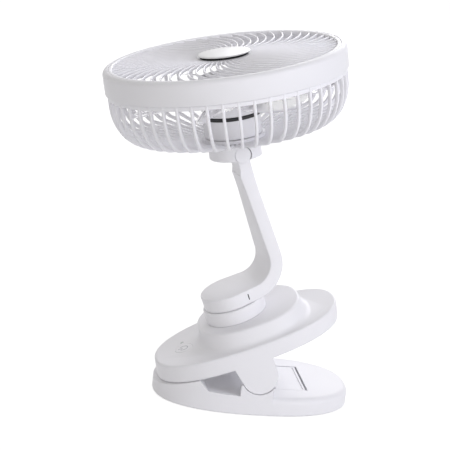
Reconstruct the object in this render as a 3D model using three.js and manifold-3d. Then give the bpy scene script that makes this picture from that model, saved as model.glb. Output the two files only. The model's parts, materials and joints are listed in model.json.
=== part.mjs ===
// Clip fan: a clip with a charging base, a swivelling arm and a tilting fan head.
// Millimetres, +Z up. The origin is the middle of the clip's underside; the clip's mouth
// faces -X and its handles face +X. The upper jaw, the arm and the head each have a frame
// of their own, nested in the one before, and each frame's origin is the joint that it turns on.
import * as THREE from 'three';
import { mergeVertices } from 'three/addons/utils/BufferGeometryUtils.js';
import Module from 'manifold-3d';

const wasm = await Module();
wasm.setup();

// ---------------------------------------------------------------------------
// Driving dimensions, in millimetres and degrees
// ---------------------------------------------------------------------------

// Clearances
const seatGap = 0.3; // between two pieces that rest on each other
const runGap = 0.4; // beside a piece that turns or slides
const boreFit = 0.2; // round a pin, a shaft or a lamp in its bore
const toolOver = 1; // what a cut runs past the face that it opens
const wall = 2.2; // moulded shells

// Lower jaw
const lowerLength = 144;
const lowerWidth = 87.4;
const lowerTaper = 0.05; // share by which the handle end is wider
const jawSquareness = 2.36; // 2 is an ellipse, more is squarer
const lowerHeight = 13.6;
const lowerCrown = 4.5; // round edge of its top
const rimHeight = 0.5; // shell rim above the table
const rimChamfer = 0.8;
const throatFront = -43.8; // back end of the lip, along X
const throatSlope = 6.5;
const throatBack = -14.5; // front face of the saddle round the hinge
const throatWall = 5.5; // throat's side wall, in from the jaw's widest place
const throatSill = 0.9; // side wall of the throat above the jaw's top
const saddleHeight = 22.8;
const saddleRear = 9;

// Jaw hinge
const hingeX = -1.5;
const hingeZ = 29.5;
const jawAngle = 23.8; // upper jaw above the table, as the photograph shows it
const hingePinRadius = 2;
const cheekRadius = 12.8;
const cheekFlare = 12.2; // lean of the cheek's front edge
const cheekWall = 3.2;
const cheekRoom = 4; // from a cheek to the cover under the upper jaw
const cheekRoomFront = 1.5; // more room at the leaning front of the cheek
const pinInset = 1.6; // hinge pin's end, in from the cheek's face
const earWall = 3.2;
const earRadius = 10.2;

// Upper jaw, in its own frame: X from the hinge, Z square to the plate
const upperLength = 139.2;
const upperWidth = 85.2;
const upperCentre = 2.4;
const upperTaper = 0.02;
const upperLean = 0.18; // forward shift of the wall for each millimetre down
const undersideZ = 10.8;
const upperHeight = 12.7;
const upperEdge = 1.6;
const upperFoot = 1.2; // round of the plate's lower edge
const lipGap = 0.45; // between the closed jaws

// Housing on the upper jaw
const housingLength = 77.6;
const housingWidth = 71.6;
const housingCentre = 8.4;
const housingHeight = 12.4;
const housingEdge = 2;
const housingFlare = 5; // hollow round at the housing's foot

// Grip pads of the mouth
const padThickness = 1;
const padInset = 6;
const padEnd = -44; // handle end of the pads, along the plate

// Base cover and rubber foot
const coverThickness = 2;
const footPadThickness = 1;
const footPadInset = 8;
const footPadEdge = 0.4;

// Hanging hook, folded into the lower jaw
const hookHinge = 15.6;
const hookTip = 37.4;
const hookWidth = 45;
const hookThickness = 2.3;
const hookPinRadius = 0.8;
const hookSlot = 1.2; // finger gap at its free edge
const hookRoom = 0.7; // under the folded leaf
const hookHeel = 4; // tray in front of its pin
const grooveOffset = 2.6; // finger groove, in from the free edge
const grooveWidth = 0.8;
const grooveDepth = 0.5;
const grooveInset = 1.5; // groove's ends, in from the leaf's sides

// Torsion spring on the hinge pin
const springWire = 1.5;
const springTurns = 7;
const springPitch = 2.3;
const springLowerLeg = -60; // direction of the leg that rests on the lower jaw
const springUpperLeg = 9.2; // length of the leg under the upper jaw
const springTurnsLeft = -2; // end of the last turn against the first, in degrees

// Swivel under the arm
const collarRadius = 22.5;
const collarHeight = 10.2;
const collarEdge = 0.9;
const shaftRadius = 6.2;
const shaftBore = 3.2;
const shaftFlange = 11;
const flangeThickness = 1.2;
const shaftDrop = 2.6; // shaft's end below its nut
const nutRadius = 9.6;
const nutHeight = 2.6;
const washerLip = 1.4; // washer outside its nut
const collarWeb = 2.6; // top of the collar
const plateRecess = 0.2; // foot plate above the foot's underside

// Arm, in its own frame: X towards the upright, Z along the swivel axis
const armSwing = 9.2; // turn of the arm on the swivel, as photographed
const footThickness = 10.3;
const footRadius = 21.1;
const armThickness = 9.3;
const bendStart = 16.2; // where the foot's top starts to bend upwards
const bendRadius = 15.8; // inside of the bend
const heelRadius = 24; // outer round above the bend
const heelRise = 3; // its middle above the bend's middle
const elbowWidth = 35;
const armTopWidth = 20.4;
const pivotHeight = 94.2; // tilt axis above the foot's top
const barrelRadius = 5.9;
const armFlare = 30; // length over which the upright thickens to its barrel
const scoopLength = 11; // hollow on the inside of the upright, under the hub
const scoopDepth = 1.6;
const scoopLean = 4; // in degrees
const leadRadius = 1.4;
const channelRadius = 2.4;
const leadTail = 1; // lead below the shaft's end
const leadStop = 2; // from the lead's top end to the tilt axle

// Tilt joint
const headTilt = 11; // lean of the head against the upright, as photographed
const axleRadius = 2.1;
const capThickness = 3.4;
const capInset = 1.6; // tilt cap, in from the hub's side
const capEdge = 0.4;
const washerThickness = 0.8;

// Head, in its own frame: Z from the tilt axis to the front
const grilleHeight = 69.6; // front plane above the tilt axis
const grilleRadius = 82;
const bandLip = 4.4; // front band outside the grille
const bandHeight = 16.7;
const bandShoulder = 3.5;
const bandWall = 2;
const bandSeat = 3; // depth of the grille's seat in the band
const bandHaunch = 3; // slope under that seat
const hubRadius = 19.2;
const hubDrop = 4; // hub's end below the tilt axis
const hubTop = 12;
const hubEdge = 1;
const hubFlange = 2; // hub's top outside the motor
const cageInset = 1.5; // side ribs, in from the band's face
const cageStraight = 25; // depth at which the ribs start to bend in
const bowlInset = 18.4; // rear edge of the bowl, in from the side ribs
const bowlTurn = 77.4; // turn of the bowl's round, in degrees
const bowlDepth = 51.6;
const rearDepth = 63; // rear face at the hub
const cageRibs = 50;
const cagePhase = -1.4; // turn of the first rib from the head's own X
const cageRibWidth = 2;
const cageRibDepth = 2.6;
const cageRim = 3; // width of the ring under the band
const cageRimHeight = 3.1;
const cageLap = 0.8; // from the band to the ribs' top ends
const cageSeat = 4.7; // width of the ring round the hub
const cageSeatHeight = 3;
const frontRibs = 54;
const frontRibWidth = 1.1;
const frontRibDepth = 2.2;
const frontRibSink = 0.5; // ribs below the rim's face
const frontRibLap = 0.6; // ribs' ends in the rim
const frontSweep = 28; // turn of a front rib from the centre to the rim
const sweepPower = 1.5; // more keeps a rib straighter near the centre
const rimWidth = 2.6;
const rimDepth = 2.8;
const discRadius = 18.6;
const discHeight = 3.6;
const discProud = 1.8;
const discSeat = 3; // width of the disc's seat
const discLip = 2; // width of the ring outside the disc
const discSeatSink = 0.8; // seat below the rim's face
const discSeatDepth = 2.6;
const discEdge = 1;
const discCrown = 0.5;

// Motor and blades
const motorRadius = 20.6;
const motorRearHeight = 13.5;
const motorScrewCircle = 13.8;
const ringHeight = 2.2; // dark joint ring of the motor
const ringProud = 0.4;
const rotorHeight = 27;
const rotorEdge = 2;
const rotorHubDrop = 4; // rotor's inner boss above its rim
const motorShaftRadius = 1.5;
const coilPoles = 6;
const coilWall = 1.4; // from the shaft to the coil's bore
const coilRadius = 7;
const coilHeight = 9.5;
const poleWidth = 4;
const poleStart = 2; // poles above the coil's end
const poleHeight = 6;
const poleGap = 2; // from the poles to the motor's wall
const bladeCount = 7;
const bladeTipGap = 6.3; // from the blades' tips to the side ribs
const bladePhase = 27; // turn of the first blade from the head's own X
const bladeThickness = 1.6;
const bladeRootPitch = 42;
const bladeTipPitch = 24;
const bladeChord = 40;
const bladeCamber = 3;
const bladeLead = 14.3; // turn of a blade's tip against its root
const bladeFlatness = 0.8; // share of the blade's rise that is kept

// Electrics in the housing
const cellRadius = 9;
const cellLength = 49;
const cellX = 22;
const cellLift = 1.4; // cell above the cradle's underside
const cellTip = 1.2; // contact beyond the sleeve
const cradleFloor = 1.1;
const cradleWall = 2;
const cradleRib = 4;
const boardThickness = 1.6;
const boardLength = 24;
const boardWidth = 40;
const boardOffset = 9; // board's edge in front of the button's middle
const boardDrop = 3; // board under the plate's inside
const chipSize = 6;
const chipHeight = 1;
const chipInset = 3;
const postRadius = 1.6;
const postInset = 3;
const buttonInset = 22.2; // button from the mouth end of the plate
const buttonRadius = 6.6;
const buttonProud = 0.5;
const buttonTravel = 0.8;
const buttonStem = 1.6;
const buttonEdge = 0.5;
const lampRadius = 1.3;
const lampOffset = 11;
const portWidth = 9;
const portHeight = 3.3;
const portRise = 0.55; // share of the housing's height
const portDepth = 8;
const portWall = 0.5;
const portFloor = 2;
const tongueInset = 1.4;
const tongueLength = 4;
const tongueHeight = 0.7;
const portSink = 0.6; // port's face inside the housing's wall

// Screws: countersunk self-tappers
const screwRadius = 1.1;
const screwHeadRadius = 2.2;
const screwHeadHeight = 1.1;
const screwLength = 7;
const bossRadius = 3;
const screwSink = 0.1; // screw's head above the cover's underside

// Facets
const jawSides = 36;
const rimSides = 50;
const roundSides = 25;
const smallSides = 12;

// ---------------------------------------------------------------------------
// Sizes that follow from the ones above
// ---------------------------------------------------------------------------

const turn = THREE.MathUtils.degToRad;
const plateTop = undersideZ + upperHeight;
const housingTop = plateTop + housingHeight;
const collarTop = housingTop + seatGap + collarHeight;
const footBottom = collarTop + seatGap;
const footTop = footBottom + footThickness;
const plateSeat = footBottom + plateRecess;
const flangeBottom = footBottom + wall + seatGap;
const shaftBottom = housingTop - wall - nutHeight - shaftDrop;
const bendCentreZ = footTop + bendRadius;
const uprightInside = bendStart + bendRadius;
const uprightX = uprightInside + armThickness / 2;
const pivotZ = footTop + pivotHeight;
const cheekInside = upperWidth / 2 - cheekWall;
const earOutside = cheekInside - seatGap;
const earInside = earOutside - earWall;
const coverBottom = footPadThickness + seatGap;
const coverTop = coverBottom + coverThickness;
const hookZ = lowerHeight - seatGap - hookThickness / 2;
const slotHalf = armTopWidth / 2 + runGap;
const capInside = hubRadius - capInset - capThickness;
const ringZ = hubTop + motorRearHeight + seatGap;
const rotorZ = ringZ + ringHeight + runGap;
const upperBaseTop = undersideZ + wall;
const boardTop = plateTop - wall - boardDrop;
const buttonX = upperCentre - upperLength / 2 + buttonInset;
const portZ = plateTop + housingHeight * portRise;
const cradleBottom = upperBaseTop + seatGap;
const cellZ = cradleBottom + cellLift + cellRadius;
const bandRadius = grilleRadius + bandLip;
const cageRadius = bandRadius - cageInset;
const bowlRadius = cageRadius - bowlInset;
const bladeRadius = cageRadius - cageRibDepth - bladeTipGap;

const lowerOutline = {
  length: lowerLength, width: lowerWidth, squareness: jawSquareness, taper: lowerTaper,
  centre: 0, lean: 0, level: 0,
};
const upperOutline = {
  length: upperLength, width: upperWidth, squareness: jawSquareness, taper: upperTaper,
  centre: upperCentre, lean: upperLean, level: plateTop,
};
const housingOutline = {
  length: housingLength, width: housingWidth, squareness: jawSquareness, taper: 0,
  centre: housingCentre, lean: 0, level: 0,
};

// Where the upper jaw's frame lies at rest, for what the lower jaw takes from it
const upperPlace = new THREE.Matrix4().makeRotationY(-turn(jawAngle)).setPosition(hingeX, 0, hingeZ);

// ---------------------------------------------------------------------------
// Solids
// ---------------------------------------------------------------------------

// A closed solid from a geometry: shared corners merged, faces pointing out.
function solidOf(geometry) {
  const bare = geometry.clone();
  bare.deleteAttribute('normal');
  bare.deleteAttribute('uv');
  const merged = mergeVertices(bare, 1e-4);
  const corners = merged.attributes.position;
  const faces = [];
  let volume = 0;
  const [a, b, c] = [new THREE.Vector3(), new THREE.Vector3(), new THREE.Vector3()];
  for (let i = 0; i < merged.index.count; i += 3) {
    const [p, q, r] = [merged.index.getX(i), merged.index.getX(i + 1), merged.index.getX(i + 2)];
    if (p === q || q === r || r === p) continue;
    faces.push(p, q, r);
    volume += a.fromBufferAttribute(corners, p)
      .dot(b.fromBufferAttribute(corners, q).cross(c.fromBufferAttribute(corners, r)));
  }
  if (volume < 0) faces.reverse();
  return new wasm.Manifold(new wasm.Mesh({
    numProp: 3,
    vertProperties: new Float32Array(corners.array),
    triVerts: new Uint32Array(faces),
  }));
}

function geometryOf(body) {
  const { vertProperties, triVerts } = body.getMesh();
  const geometry = new THREE.BufferGeometry();
  geometry.setAttribute('position', new THREE.BufferAttribute(new Float32Array(vertProperties), 3));
  geometry.setIndex(new THREE.BufferAttribute(new Uint32Array(triVerts), 1));
  return geometry;
}

function join(...geometries) {
  return geometryOf(geometries.map(solidOf).reduce((whole, next) => whole.add(next)));
}

function cut(geometry, ...tools) {
  return geometryOf(tools.map(solidOf).reduce((whole, tool) => whole.subtract(tool), solidOf(geometry)));
}

function overlap(...geometries) {
  return geometryOf(geometries.map(solidOf).reduce((whole, next) => whole.intersect(next)));
}

function block(x0, x1, y0, y1, z0, z1) {
  return new THREE.BoxGeometry(x1 - x0, y1 - y0, z1 - z0)
    .translate((x0 + x1) / 2, (y0 + y1) / 2, (z0 + z1) / 2);
}

// Cylinder along Z
function column(radius, z0, z1, x = 0, y = 0, sides = roundSides) {
  return new THREE.CylinderGeometry(radius, radius, z1 - z0, sides)
    .rotateX(Math.PI / 2)
    .translate(x, y, (z0 + z1) / 2);
}

// Cylinder along Y
function rod(radius, y0, y1, x = 0, z = 0, sides = roundSides) {
  return new THREE.CylinderGeometry(radius, radius, y1 - y0, sides).translate(x, (y0 + y1) / 2, z);
}

// Profile of [radius, height] pairs turned about Z
function turned(profile, sides = roundSides) {
  return new THREE.LatheGeometry(profile.map(([r, z]) => new THREE.Vector2(r, z)), sides)
    .rotateX(Math.PI / 2);
}

// Shape drawn in X and Z, spread along Y
function slab(shape, y0, y1) {
  return new THREE.ExtrudeGeometry(shape, { depth: y1 - y0, bevelEnabled: false, curveSegments: 10 })
    .rotateX(Math.PI / 2)
    .translate(0, y1, 0);
}

// Shape drawn in X and Y, raised along Z
function plate(shape, z0, z1) {
  return new THREE.ExtrudeGeometry(shape, { depth: z1 - z0, bevelEnabled: false, curveSegments: 16 })
    .translate(0, 0, z0);
}

function polygon(points) {
  return new THREE.Shape(points.map(([x, y]) => new THREE.Vector2(x, y)));
}

// Rounded oval body: a turned blank whose circles are drawn out to the jaw's outline.
// Each level is [distance in from the outline, height].
function oval(outline, levels) {
  const { length, width, squareness, taper, centre, lean, level } = outline;
  const blankRadius = width / 2;
  const rings = levels.map(([inset, z]) => [blankRadius - inset, z]);
  const profile = [[0, levels[0][1]], ...rings, [0, levels[levels.length - 1][1]]];
  const body = turned(profile, jawSides);
  const points = body.attributes.position;
  const spread = (ratio) => Math.sign(ratio) * Math.abs(ratio) ** (2 / squareness);
  for (let i = 0; i < points.count; i += 1) {
    const [x, y, z] = [points.getX(i), points.getY(i), points.getZ(i)];
    const reach = Math.hypot(x, y);
    const shift = centre - lean * (level - z);
    if (reach < 1e-6) {
      points.setXYZ(i, shift, 0, z);
      continue;
    }
    const inset = blankRadius - reach;
    const along = (length / 2 - inset) * spread(x / reach);
    const across = (width / 2 - inset) * spread(y / reach) * (1 + (taper * along * 2) / length);
    points.setXYZ(i, shift + along, across, z);
  }
  return body;
}

// Levels of a rounded top edge for oval()
function shoulder(radius, top, inset = 0, steps = 2) {
  return Array.from({ length: steps + 1 }, (_, i) => {
    const angle = (i / steps) * (Math.PI / 2);
    return [inset + radius * (1 - Math.cos(angle)), top - radius * (1 - Math.sin(angle))];
  });
}

// Route through points, with one step of the tube from each point to the next
class Route extends THREE.Curve {
  constructor(points) {
    super();
    this.points = points;
  }

  getPoint(t, target = new THREE.Vector3()) {
    const place = Math.min(Math.max(t, 0), 1) * (this.points.length - 1);
    const index = Math.min(Math.floor(place), this.points.length - 2);
    return target.lerpVectors(this.points[index], this.points[index + 1], place - index);
  }

  getUtoTmapping(share) {
    return share;
  }
}

// Tube of round section along a list of points
function tube(points, radius, sides) {
  const section = polygon(Array.from({ length: sides }, (_, i) => {
    const angle = (i / sides) * 2 * Math.PI;
    return [radius * Math.cos(angle), radius * Math.sin(angle)];
  }));
  return new THREE.ExtrudeGeometry(section, {
    steps: points.length - 1, extrudePath: new Route(points), bevelEnabled: false,
  });
}

// ---------------------------------------------------------------------------
// Finishes
// ---------------------------------------------------------------------------

function finish(color, roughness, metalness = 0, opacity = 1) {
  return new THREE.MeshStandardMaterial({
    color, roughness, metalness, opacity, transparent: opacity < 1,
  });
}

const finishes = {
  white: finish(0xf1f0ed, 0.35),
  cage: finish(0xf4f4f2, 0.3),
  silver: finish(0xd5d6d8, 0.3, 0.2),
  rubber: finish(0xb9b8b5, 0.85),
  clear: finish(0xe9eef0, 0.08, 0, 0.45),
  black: finish(0x1d1d1f, 0.5),
  steel: finish(0xb4b6b8, 0.3, 1),
  board: finish(0x2b6a46, 0.6),
  cell: finish(0x6f8fb8, 0.5),
  copper: finish(0xb0683a, 0.4, 1),
  lamp: finish(0xe8f3e9, 0.2, 0, 0.6),
};

function piece(name, geometry, material) {
  const bare = geometry.index ? geometry : mergeVertices(geometry, 1e-4);
  bare.computeVertexNormals();
  const mesh = new THREE.Mesh(bare, material);
  mesh.name = name;
  return mesh;
}

// ---------------------------------------------------------------------------
// Screws
// ---------------------------------------------------------------------------

// Screw that goes up from z, with its head at the bottom
function screw(x, y, z) {
  return turned([
    [0, z],
    [screwHeadRadius, z],
    [screwHeadRadius, z + screwHeadHeight * 0.4],
    [screwRadius, z + screwHeadHeight],
    [screwRadius, z + screwLength],
    [0, z + screwLength],
  ], smallSides).translate(x, y, 0);
}

// Counterbore and clearance hole for a screw in the cover that starts at z
function screwSeat(x, y, z, depth) {
  return join(
    column(screwHeadRadius + seatGap, z - toolOver, z + screwHeadHeight + seatGap, x, y, smallSides),
    column(screwRadius + seatGap, z, z + depth, x, y, smallSides),
  );
}

const lowerScrews = [[-52, -13], [-52, 13], [53, -18], [53, 18]];
const upperScrews = [[-30, -31], [-30, 31], [50, -20], [50, 20]];

// ---------------------------------------------------------------------------
// Lower jaw
// ---------------------------------------------------------------------------

// Underside of the upper jaw at rest, in the clip's frame
function undersideAt(x) {
  const run = (x - hingeX) * Math.tan(turn(jawAngle));
  return hingeZ + run + undersideZ / Math.cos(turn(jawAngle));
}

// Everything above the plane that lies 'below' under the upper jaw's closed underside
function aboveMouth(below) {
  return block(-lowerLength, 0, -lowerWidth, lowerWidth, undersideZ - below, undersideZ + lowerLength)
    .applyMatrix4(upperPlace);
}

function lipProfile(inset) {
  const front = -lowerLength;
  const back = throatFront + throatSlope;
  return polygon([
    [front, 0],
    [throatBack + toolOver, 0],
    [throatBack + toolOver, lowerHeight + throatSill - inset],
    [back - inset, lowerHeight + throatSill + 1 - inset],
    [throatFront - inset, undersideAt(throatFront)],
    [front, undersideAt(throatFront)],
  ]);
}

function straightWall(inset, z0, z1) {
  return oval(lowerOutline, [[inset, z0], [inset, z1]]);
}

// Raised lip of the mouth, with the low side walls of the throat behind it
function lip(inset) {
  return overlap(
    straightWall(inset, rimHeight + rimChamfer - inset, hingeZ),
    slab(lipProfile(inset), -lowerWidth, lowerWidth),
  );
}

function throatFloor() {
  const half = lowerWidth / 2 - throatWall;
  return block(throatFront + throatSlope, throatBack + wall, -half, half, lowerHeight, hingeZ);
}

function lowerBody() {
  return oval(lowerOutline, [
    [rimChamfer, rimHeight],
    [0, rimHeight + rimChamfer],
    ...shoulder(lowerCrown, lowerHeight),
  ]);
}

// Wall that rises round the cheeks' ends
function saddle() {
  const ring = cut(
    overlap(
      straightWall(0, lowerHeight - lowerCrown, saddleHeight),
      block(throatBack, saddleRear, -lowerWidth, lowerWidth, 0, hingeZ),
    ),
    block(-lowerLength, lowerLength, -earOutside, earOutside, 0, hingeZ),
  );
  return cut(ring, rod(cheekRadius + runGap, -lowerWidth, lowerWidth, hingeX, hingeZ));
}

function ear(side) {
  const shape = new THREE.Shape();
  shape.moveTo(hingeX - earRadius, lowerHeight - wall);
  shape.lineTo(hingeX + earRadius, lowerHeight - wall);
  shape.lineTo(hingeX + earRadius, hingeZ);
  shape.absarc(hingeX, hingeZ, earRadius, 0, Math.PI);
  const inner = side * earInside;
  const outer = side * earOutside;
  return slab(shape, Math.min(inner, outer), Math.max(inner, outer));
}

function lowerBossTop(x) {
  if (x > throatFront) return lowerHeight - wall / 2;
  return undersideAt(x) - lipGap - padThickness - seatGap - wall;
}

// Recess of the hanging hook, with room for its finger edge
function hookRecess() {
  const half = hookWidth / 2 + runGap;
  return block(hookHinge - hookThickness / 2 - runGap, hookTip + hookSlot, -half, half,
    hookZ - hookThickness / 2 - hookRoom, lowerHeight + toolOver);
}

function hookTray() {
  const half = hookWidth / 2 + runGap + wall;
  return block(hookHinge - hookHeel, hookTip + hookSlot + wall, -half, half,
    hookZ - hookThickness / 2 - hookRoom - wall, lowerHeight - wall / 2);
}

function lowerShell() {
  const skin = cut(join(lowerBody(), lip(0)), throatFloor(), aboveMouth(lipGap));
  const belly = oval(lowerOutline, [
    [wall + rimChamfer, rimHeight - toolOver],
    [wall, rimHeight + rimChamfer],
    [wall, lowerHeight - lowerCrown],
    [wall + lowerCrown * 0.6, lowerHeight - wall],
  ]);
  const hollow = cut(join(belly, lip(wall)), aboveMouth(lipGap + padThickness + seatGap + wall));
  const roof = block(throatFront, throatBack + toolOver, -lowerWidth, lowerWidth,
    lowerHeight - wall, hingeZ);
  const mouthing = straightWall(wall, rimHeight - toolOver, coverTop + seatGap);
  let shell = cut(skin, cut(hollow, roof), mouthing);
  const bosses = lowerScrews.map(([x, y]) => (
    column(bossRadius, coverTop + seatGap, lowerBossTop(x), x, y, smallSides)
  ));
  shell = join(shell, saddle(), ear(-1), ear(1), hookTray(), ...bosses);
  const pilots = lowerScrews.map(([x, y]) => (
    column(screwRadius + seatGap, coverTop, coverBottom + screwLength + toolOver, x, y, smallSides)
  ));
  return cut(
    shell,
    padPocket(lipGap),
    hookRecess(),
    rod(hookPinRadius + boreFit, -hookWidth / 2 - wall, hookWidth / 2 + wall, hookHinge, hookZ, smallSides),
    rod(hingePinRadius + boreFit, -earOutside - toolOver, earOutside + toolOver, hingeX, hingeZ, smallSides),
    ...pilots,
  );
}

// Footprint of a grip pad, in the upper jaw's frame
function padShape(inset, z0, z1) {
  return overlap(
    oval(upperOutline, [[padInset - inset, z0], [padInset - inset, z1]]),
    block(-lowerLength, padEnd + inset, -lowerWidth, lowerWidth, z0, z1),
  );
}

function padPocket(below) {
  const top = undersideZ - below;
  return padShape(seatGap, top - padThickness - seatGap, top + toolOver).applyMatrix4(upperPlace);
}

function lowerGripPad() {
  const top = undersideZ - lipGap;
  return padShape(0, top - padThickness, top).applyMatrix4(upperPlace);
}

function lowerBase() {
  const inset = wall + seatGap;
  const cover = straightWall(inset, coverBottom, coverTop);
  return cut(cover, ...lowerScrews.map(([x, y]) => screwSeat(x, y, coverBottom, coverThickness + toolOver)));
}

function rubberFoot() {
  return oval(lowerOutline, [
    [footPadInset + footPadEdge, 0],
    [footPadInset, footPadEdge],
    [footPadInset, footPadThickness],
  ]);
}

function hangingHook() {
  const half = hookThickness / 2;
  const shape = new THREE.Shape();
  shape.moveTo(hookHinge, hookZ - half);
  shape.lineTo(hookTip, hookZ - half);
  shape.lineTo(hookTip, hookZ + half);
  shape.lineTo(hookHinge, hookZ + half);
  shape.absarc(hookHinge, hookZ, half, Math.PI / 2, -Math.PI / 2);
  const leaf = slab(shape, -hookWidth / 2, hookWidth / 2);
  const across = hookWidth / 2 - grooveInset;
  const groove = block(hookTip - grooveOffset, hookTip - grooveOffset + grooveWidth, -across, across,
    hookZ + half - grooveDepth, hookZ + half + toolOver);
  const bore = rod(hookPinRadius + boreFit, -hookWidth, hookWidth, hookHinge, hookZ, smallSides);
  return cut(leaf, groove, bore);
}

function hookPin() {
  const half = hookWidth / 2 + wall - seatGap;
  return rod(hookPinRadius, -half, half, hookHinge, hookZ, smallSides);
}

// ---------------------------------------------------------------------------
// Jaw hinge
// ---------------------------------------------------------------------------

function hingePin() {
  const half = upperWidth / 2 - pinInset;
  return rod(hingePinRadius, -half, half, hingeX, hingeZ, smallSides);
}

// Torsion spring: one unbroken wire, coiled round the pin with a leg along each jaw
function springPoints() {
  const steps = 8 * springTurns;
  const radius = hingePinRadius + seatGap + springWire / 2;
  const start = turn(springLowerLeg + 90);
  const total = turn(springTurns * 360 + springTurnsLeft);
  const coil = Array.from({ length: steps + 1 }, (_, i) => {
    const angle = start + (total * i) / steps;
    return new THREE.Vector3(
      hingeX + radius * Math.cos(angle),
      springPitch * springTurns * (i / steps - 0.5),
      hingeZ + radius * Math.sin(angle),
    );
  });
  const legFrom = (point, angle, length) => point.clone().add(
    new THREE.Vector3(length * Math.cos(angle), 0, length * Math.sin(angle)),
  );
  const floor = lowerHeight + seatGap + springWire;
  const drop = (coil[0].z - floor) / Math.cos(start);
  return [
    legFrom(coil[0], start - Math.PI / 2, drop),
    ...coil,
    legFrom(coil[steps], start + total + Math.PI / 2, springUpperLeg),
  ];
}

// Least clear space between the wire's turns, on points along the wire that are most of a
// turn or more apart
function springClearance(points) {
  const fine = new Route(points).getPoints(4 * (points.length - 1));
  const apart = 4 * 5;
  let least = Infinity;
  for (let i = 0; i < fine.length; i += 1) {
    for (let j = i + apart; j < fine.length; j += 1) {
      least = Math.min(least, fine[i].distanceTo(fine[j]) - springWire);
    }
  }
  return least;
}

function torsionSpring() {
  const points = springPoints();
  console.log(`torsion spring: least gap between turns ${springClearance(points).toFixed(2)} mm`);
  return tube(points, springWire / 2, 5);
}

// ---------------------------------------------------------------------------
// Upper jaw
// ---------------------------------------------------------------------------

// The housing's wall: a hollow round at its foot, then nearly upright
function housingBody() {
  return oval(housingOutline, [
    [-housingFlare, plateTop - housingFlare * 0.12],
    [-housingFlare * 0.62, plateTop + housingFlare * 0.12],
    [-housingFlare * 0.3, plateTop + housingFlare * 0.5],
    [-housingFlare * 0.12, plateTop + housingFlare * 1.2],
    ...shoulder(housingEdge, housingTop),
  ]);
}

function cheekProfile(radius) {
  const flare = turn(cheekFlare);
  const top = undersideZ + wall;
  const rise = (top + radius * Math.sin(flare)) / Math.cos(flare);
  const shape = new THREE.Shape();
  shape.moveTo(radius, top);
  shape.lineTo(radius, 0);
  shape.absarc(0, 0, radius, 0, -(Math.PI - flare), true);
  shape.lineTo(-radius * Math.cos(flare) - rise * Math.sin(flare), top);
  return shape;
}

function cheeks() {
  const band = oval(upperOutline, [[0, -cheekRadius - toolOver], [0, undersideZ + wall]]);
  const both = overlap(band, slab(cheekProfile(cheekRadius), -upperWidth, upperWidth));
  return cut(both, block(-upperLength, upperLength, -cheekInside, cheekInside, -upperLength, upperLength));
}

function upperSkin() {
  const slabLevels = [
    [upperFoot, undersideZ],
    [0, undersideZ + upperFoot],
    ...shoulder(upperEdge, plateTop),
  ];
  return join(oval(upperOutline, slabLevels), housingBody());
}

function upperHollow() {
  return join(
    oval(upperOutline, [[wall, undersideZ - toolOver], [wall, plateTop - wall]]),
    oval(housingOutline, [[wall, plateTop - wall - toolOver], [wall, housingTop - wall]]),
  );
}

function portHole(grow) {
  const y = housingWidth / 2;
  return block(housingCentre - portWidth / 2 - grow, housingCentre + portWidth / 2 + grow,
    y - portDepth, y + portDepth, portZ - portHeight / 2 - grow, portZ + portHeight / 2 + grow);
}

function upperShell() {
  const shell = join(cut(upperSkin(), upperHollow()), cheeks());
  const bosses = upperScrews.map(([x, y]) => (
    column(bossRadius, upperBaseTop + seatGap, plateTop - wall / 2, x, y, smallSides)
  ));
  const pilots = upperScrews.map(([x, y]) => (
    column(screwRadius + seatGap, upperBaseTop, plateTop - wall - seatGap, x, y, smallSides)
  ));
  const reach = upperWidth / 2 - pinInset + seatGap;
  const [under, over] = [plateTop - wall - toolOver, plateTop + toolOver];
  return cut(
    join(shell, ...bosses),
    ...pilots,
    rod(hingePinRadius + boreFit, -reach, reach, 0, 0, smallSides),
    column(shaftRadius + runGap, housingTop - wall - toolOver, housingTop + toolOver),
    column(buttonRadius + runGap, under, over, buttonX, 0),
    column(lampRadius + boreFit, under, over, buttonX, lampOffset, smallSides),
    portHole(seatGap),
  );
}

function upperBase() {
  const cover = oval(upperOutline, [
    [wall + seatGap, undersideZ],
    [wall + seatGap, upperBaseTop],
  ]);
  const side = cheekInside - seatGap;
  const back = cheekRadius + cheekRoom;
  const front = -back - cheekRoomFront;
  return cut(
    cover,
    block(front, back, side, upperWidth, 0, plateTop),
    block(front, back, -upperWidth, -side, 0, plateTop),
    padShape(seatGap, undersideZ - toolOver, undersideZ + padThickness + seatGap),
    ...upperScrews.map(([x, y]) => screwSeat(x, y, undersideZ, wall + toolOver)),
  );
}

function upperGripPad() {
  return padShape(0, undersideZ, undersideZ + padThickness);
}

function powerButton() {
  const bottom = boardTop + seatGap + buttonTravel;
  return turned([
    [0, bottom],
    [buttonStem, bottom],
    [buttonStem, plateTop - wall - buttonTravel - seatGap],
    [buttonRadius, plateTop - wall - buttonTravel],
    [buttonRadius, plateTop + buttonProud - buttonEdge],
    [buttonRadius - buttonEdge, plateTop + buttonProud],
    [0, plateTop + buttonProud],
  ]).translate(buttonX, 0, 0);
}

function indicatorLight() {
  return column(lampRadius, boardTop + seatGap, plateTop, buttonX, lampOffset, smallSides);
}

function circuitBoard() {
  const front = buttonX - boardOffset;
  const back = front + boardLength;
  const half = boardWidth / 2;
  const board = block(front, back, -half, half, boardTop - boardThickness, boardTop);
  const chipBack = back - chipInset;
  const chipSide = -half + chipInset;
  const chip = block(chipBack - chipSize, chipBack, chipSide, chipSide + chipSize,
    boardTop - boardThickness / 2, boardTop + chipHeight);
  const posts = [front + postInset, back - postInset].flatMap((x) => [-1, 1].map((side) => (
    column(postRadius, cradleBottom, boardTop - boardThickness / 2, x, side * (half - postInset), smallSides)
  )));
  return join(board, chip, ...posts);
}

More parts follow.
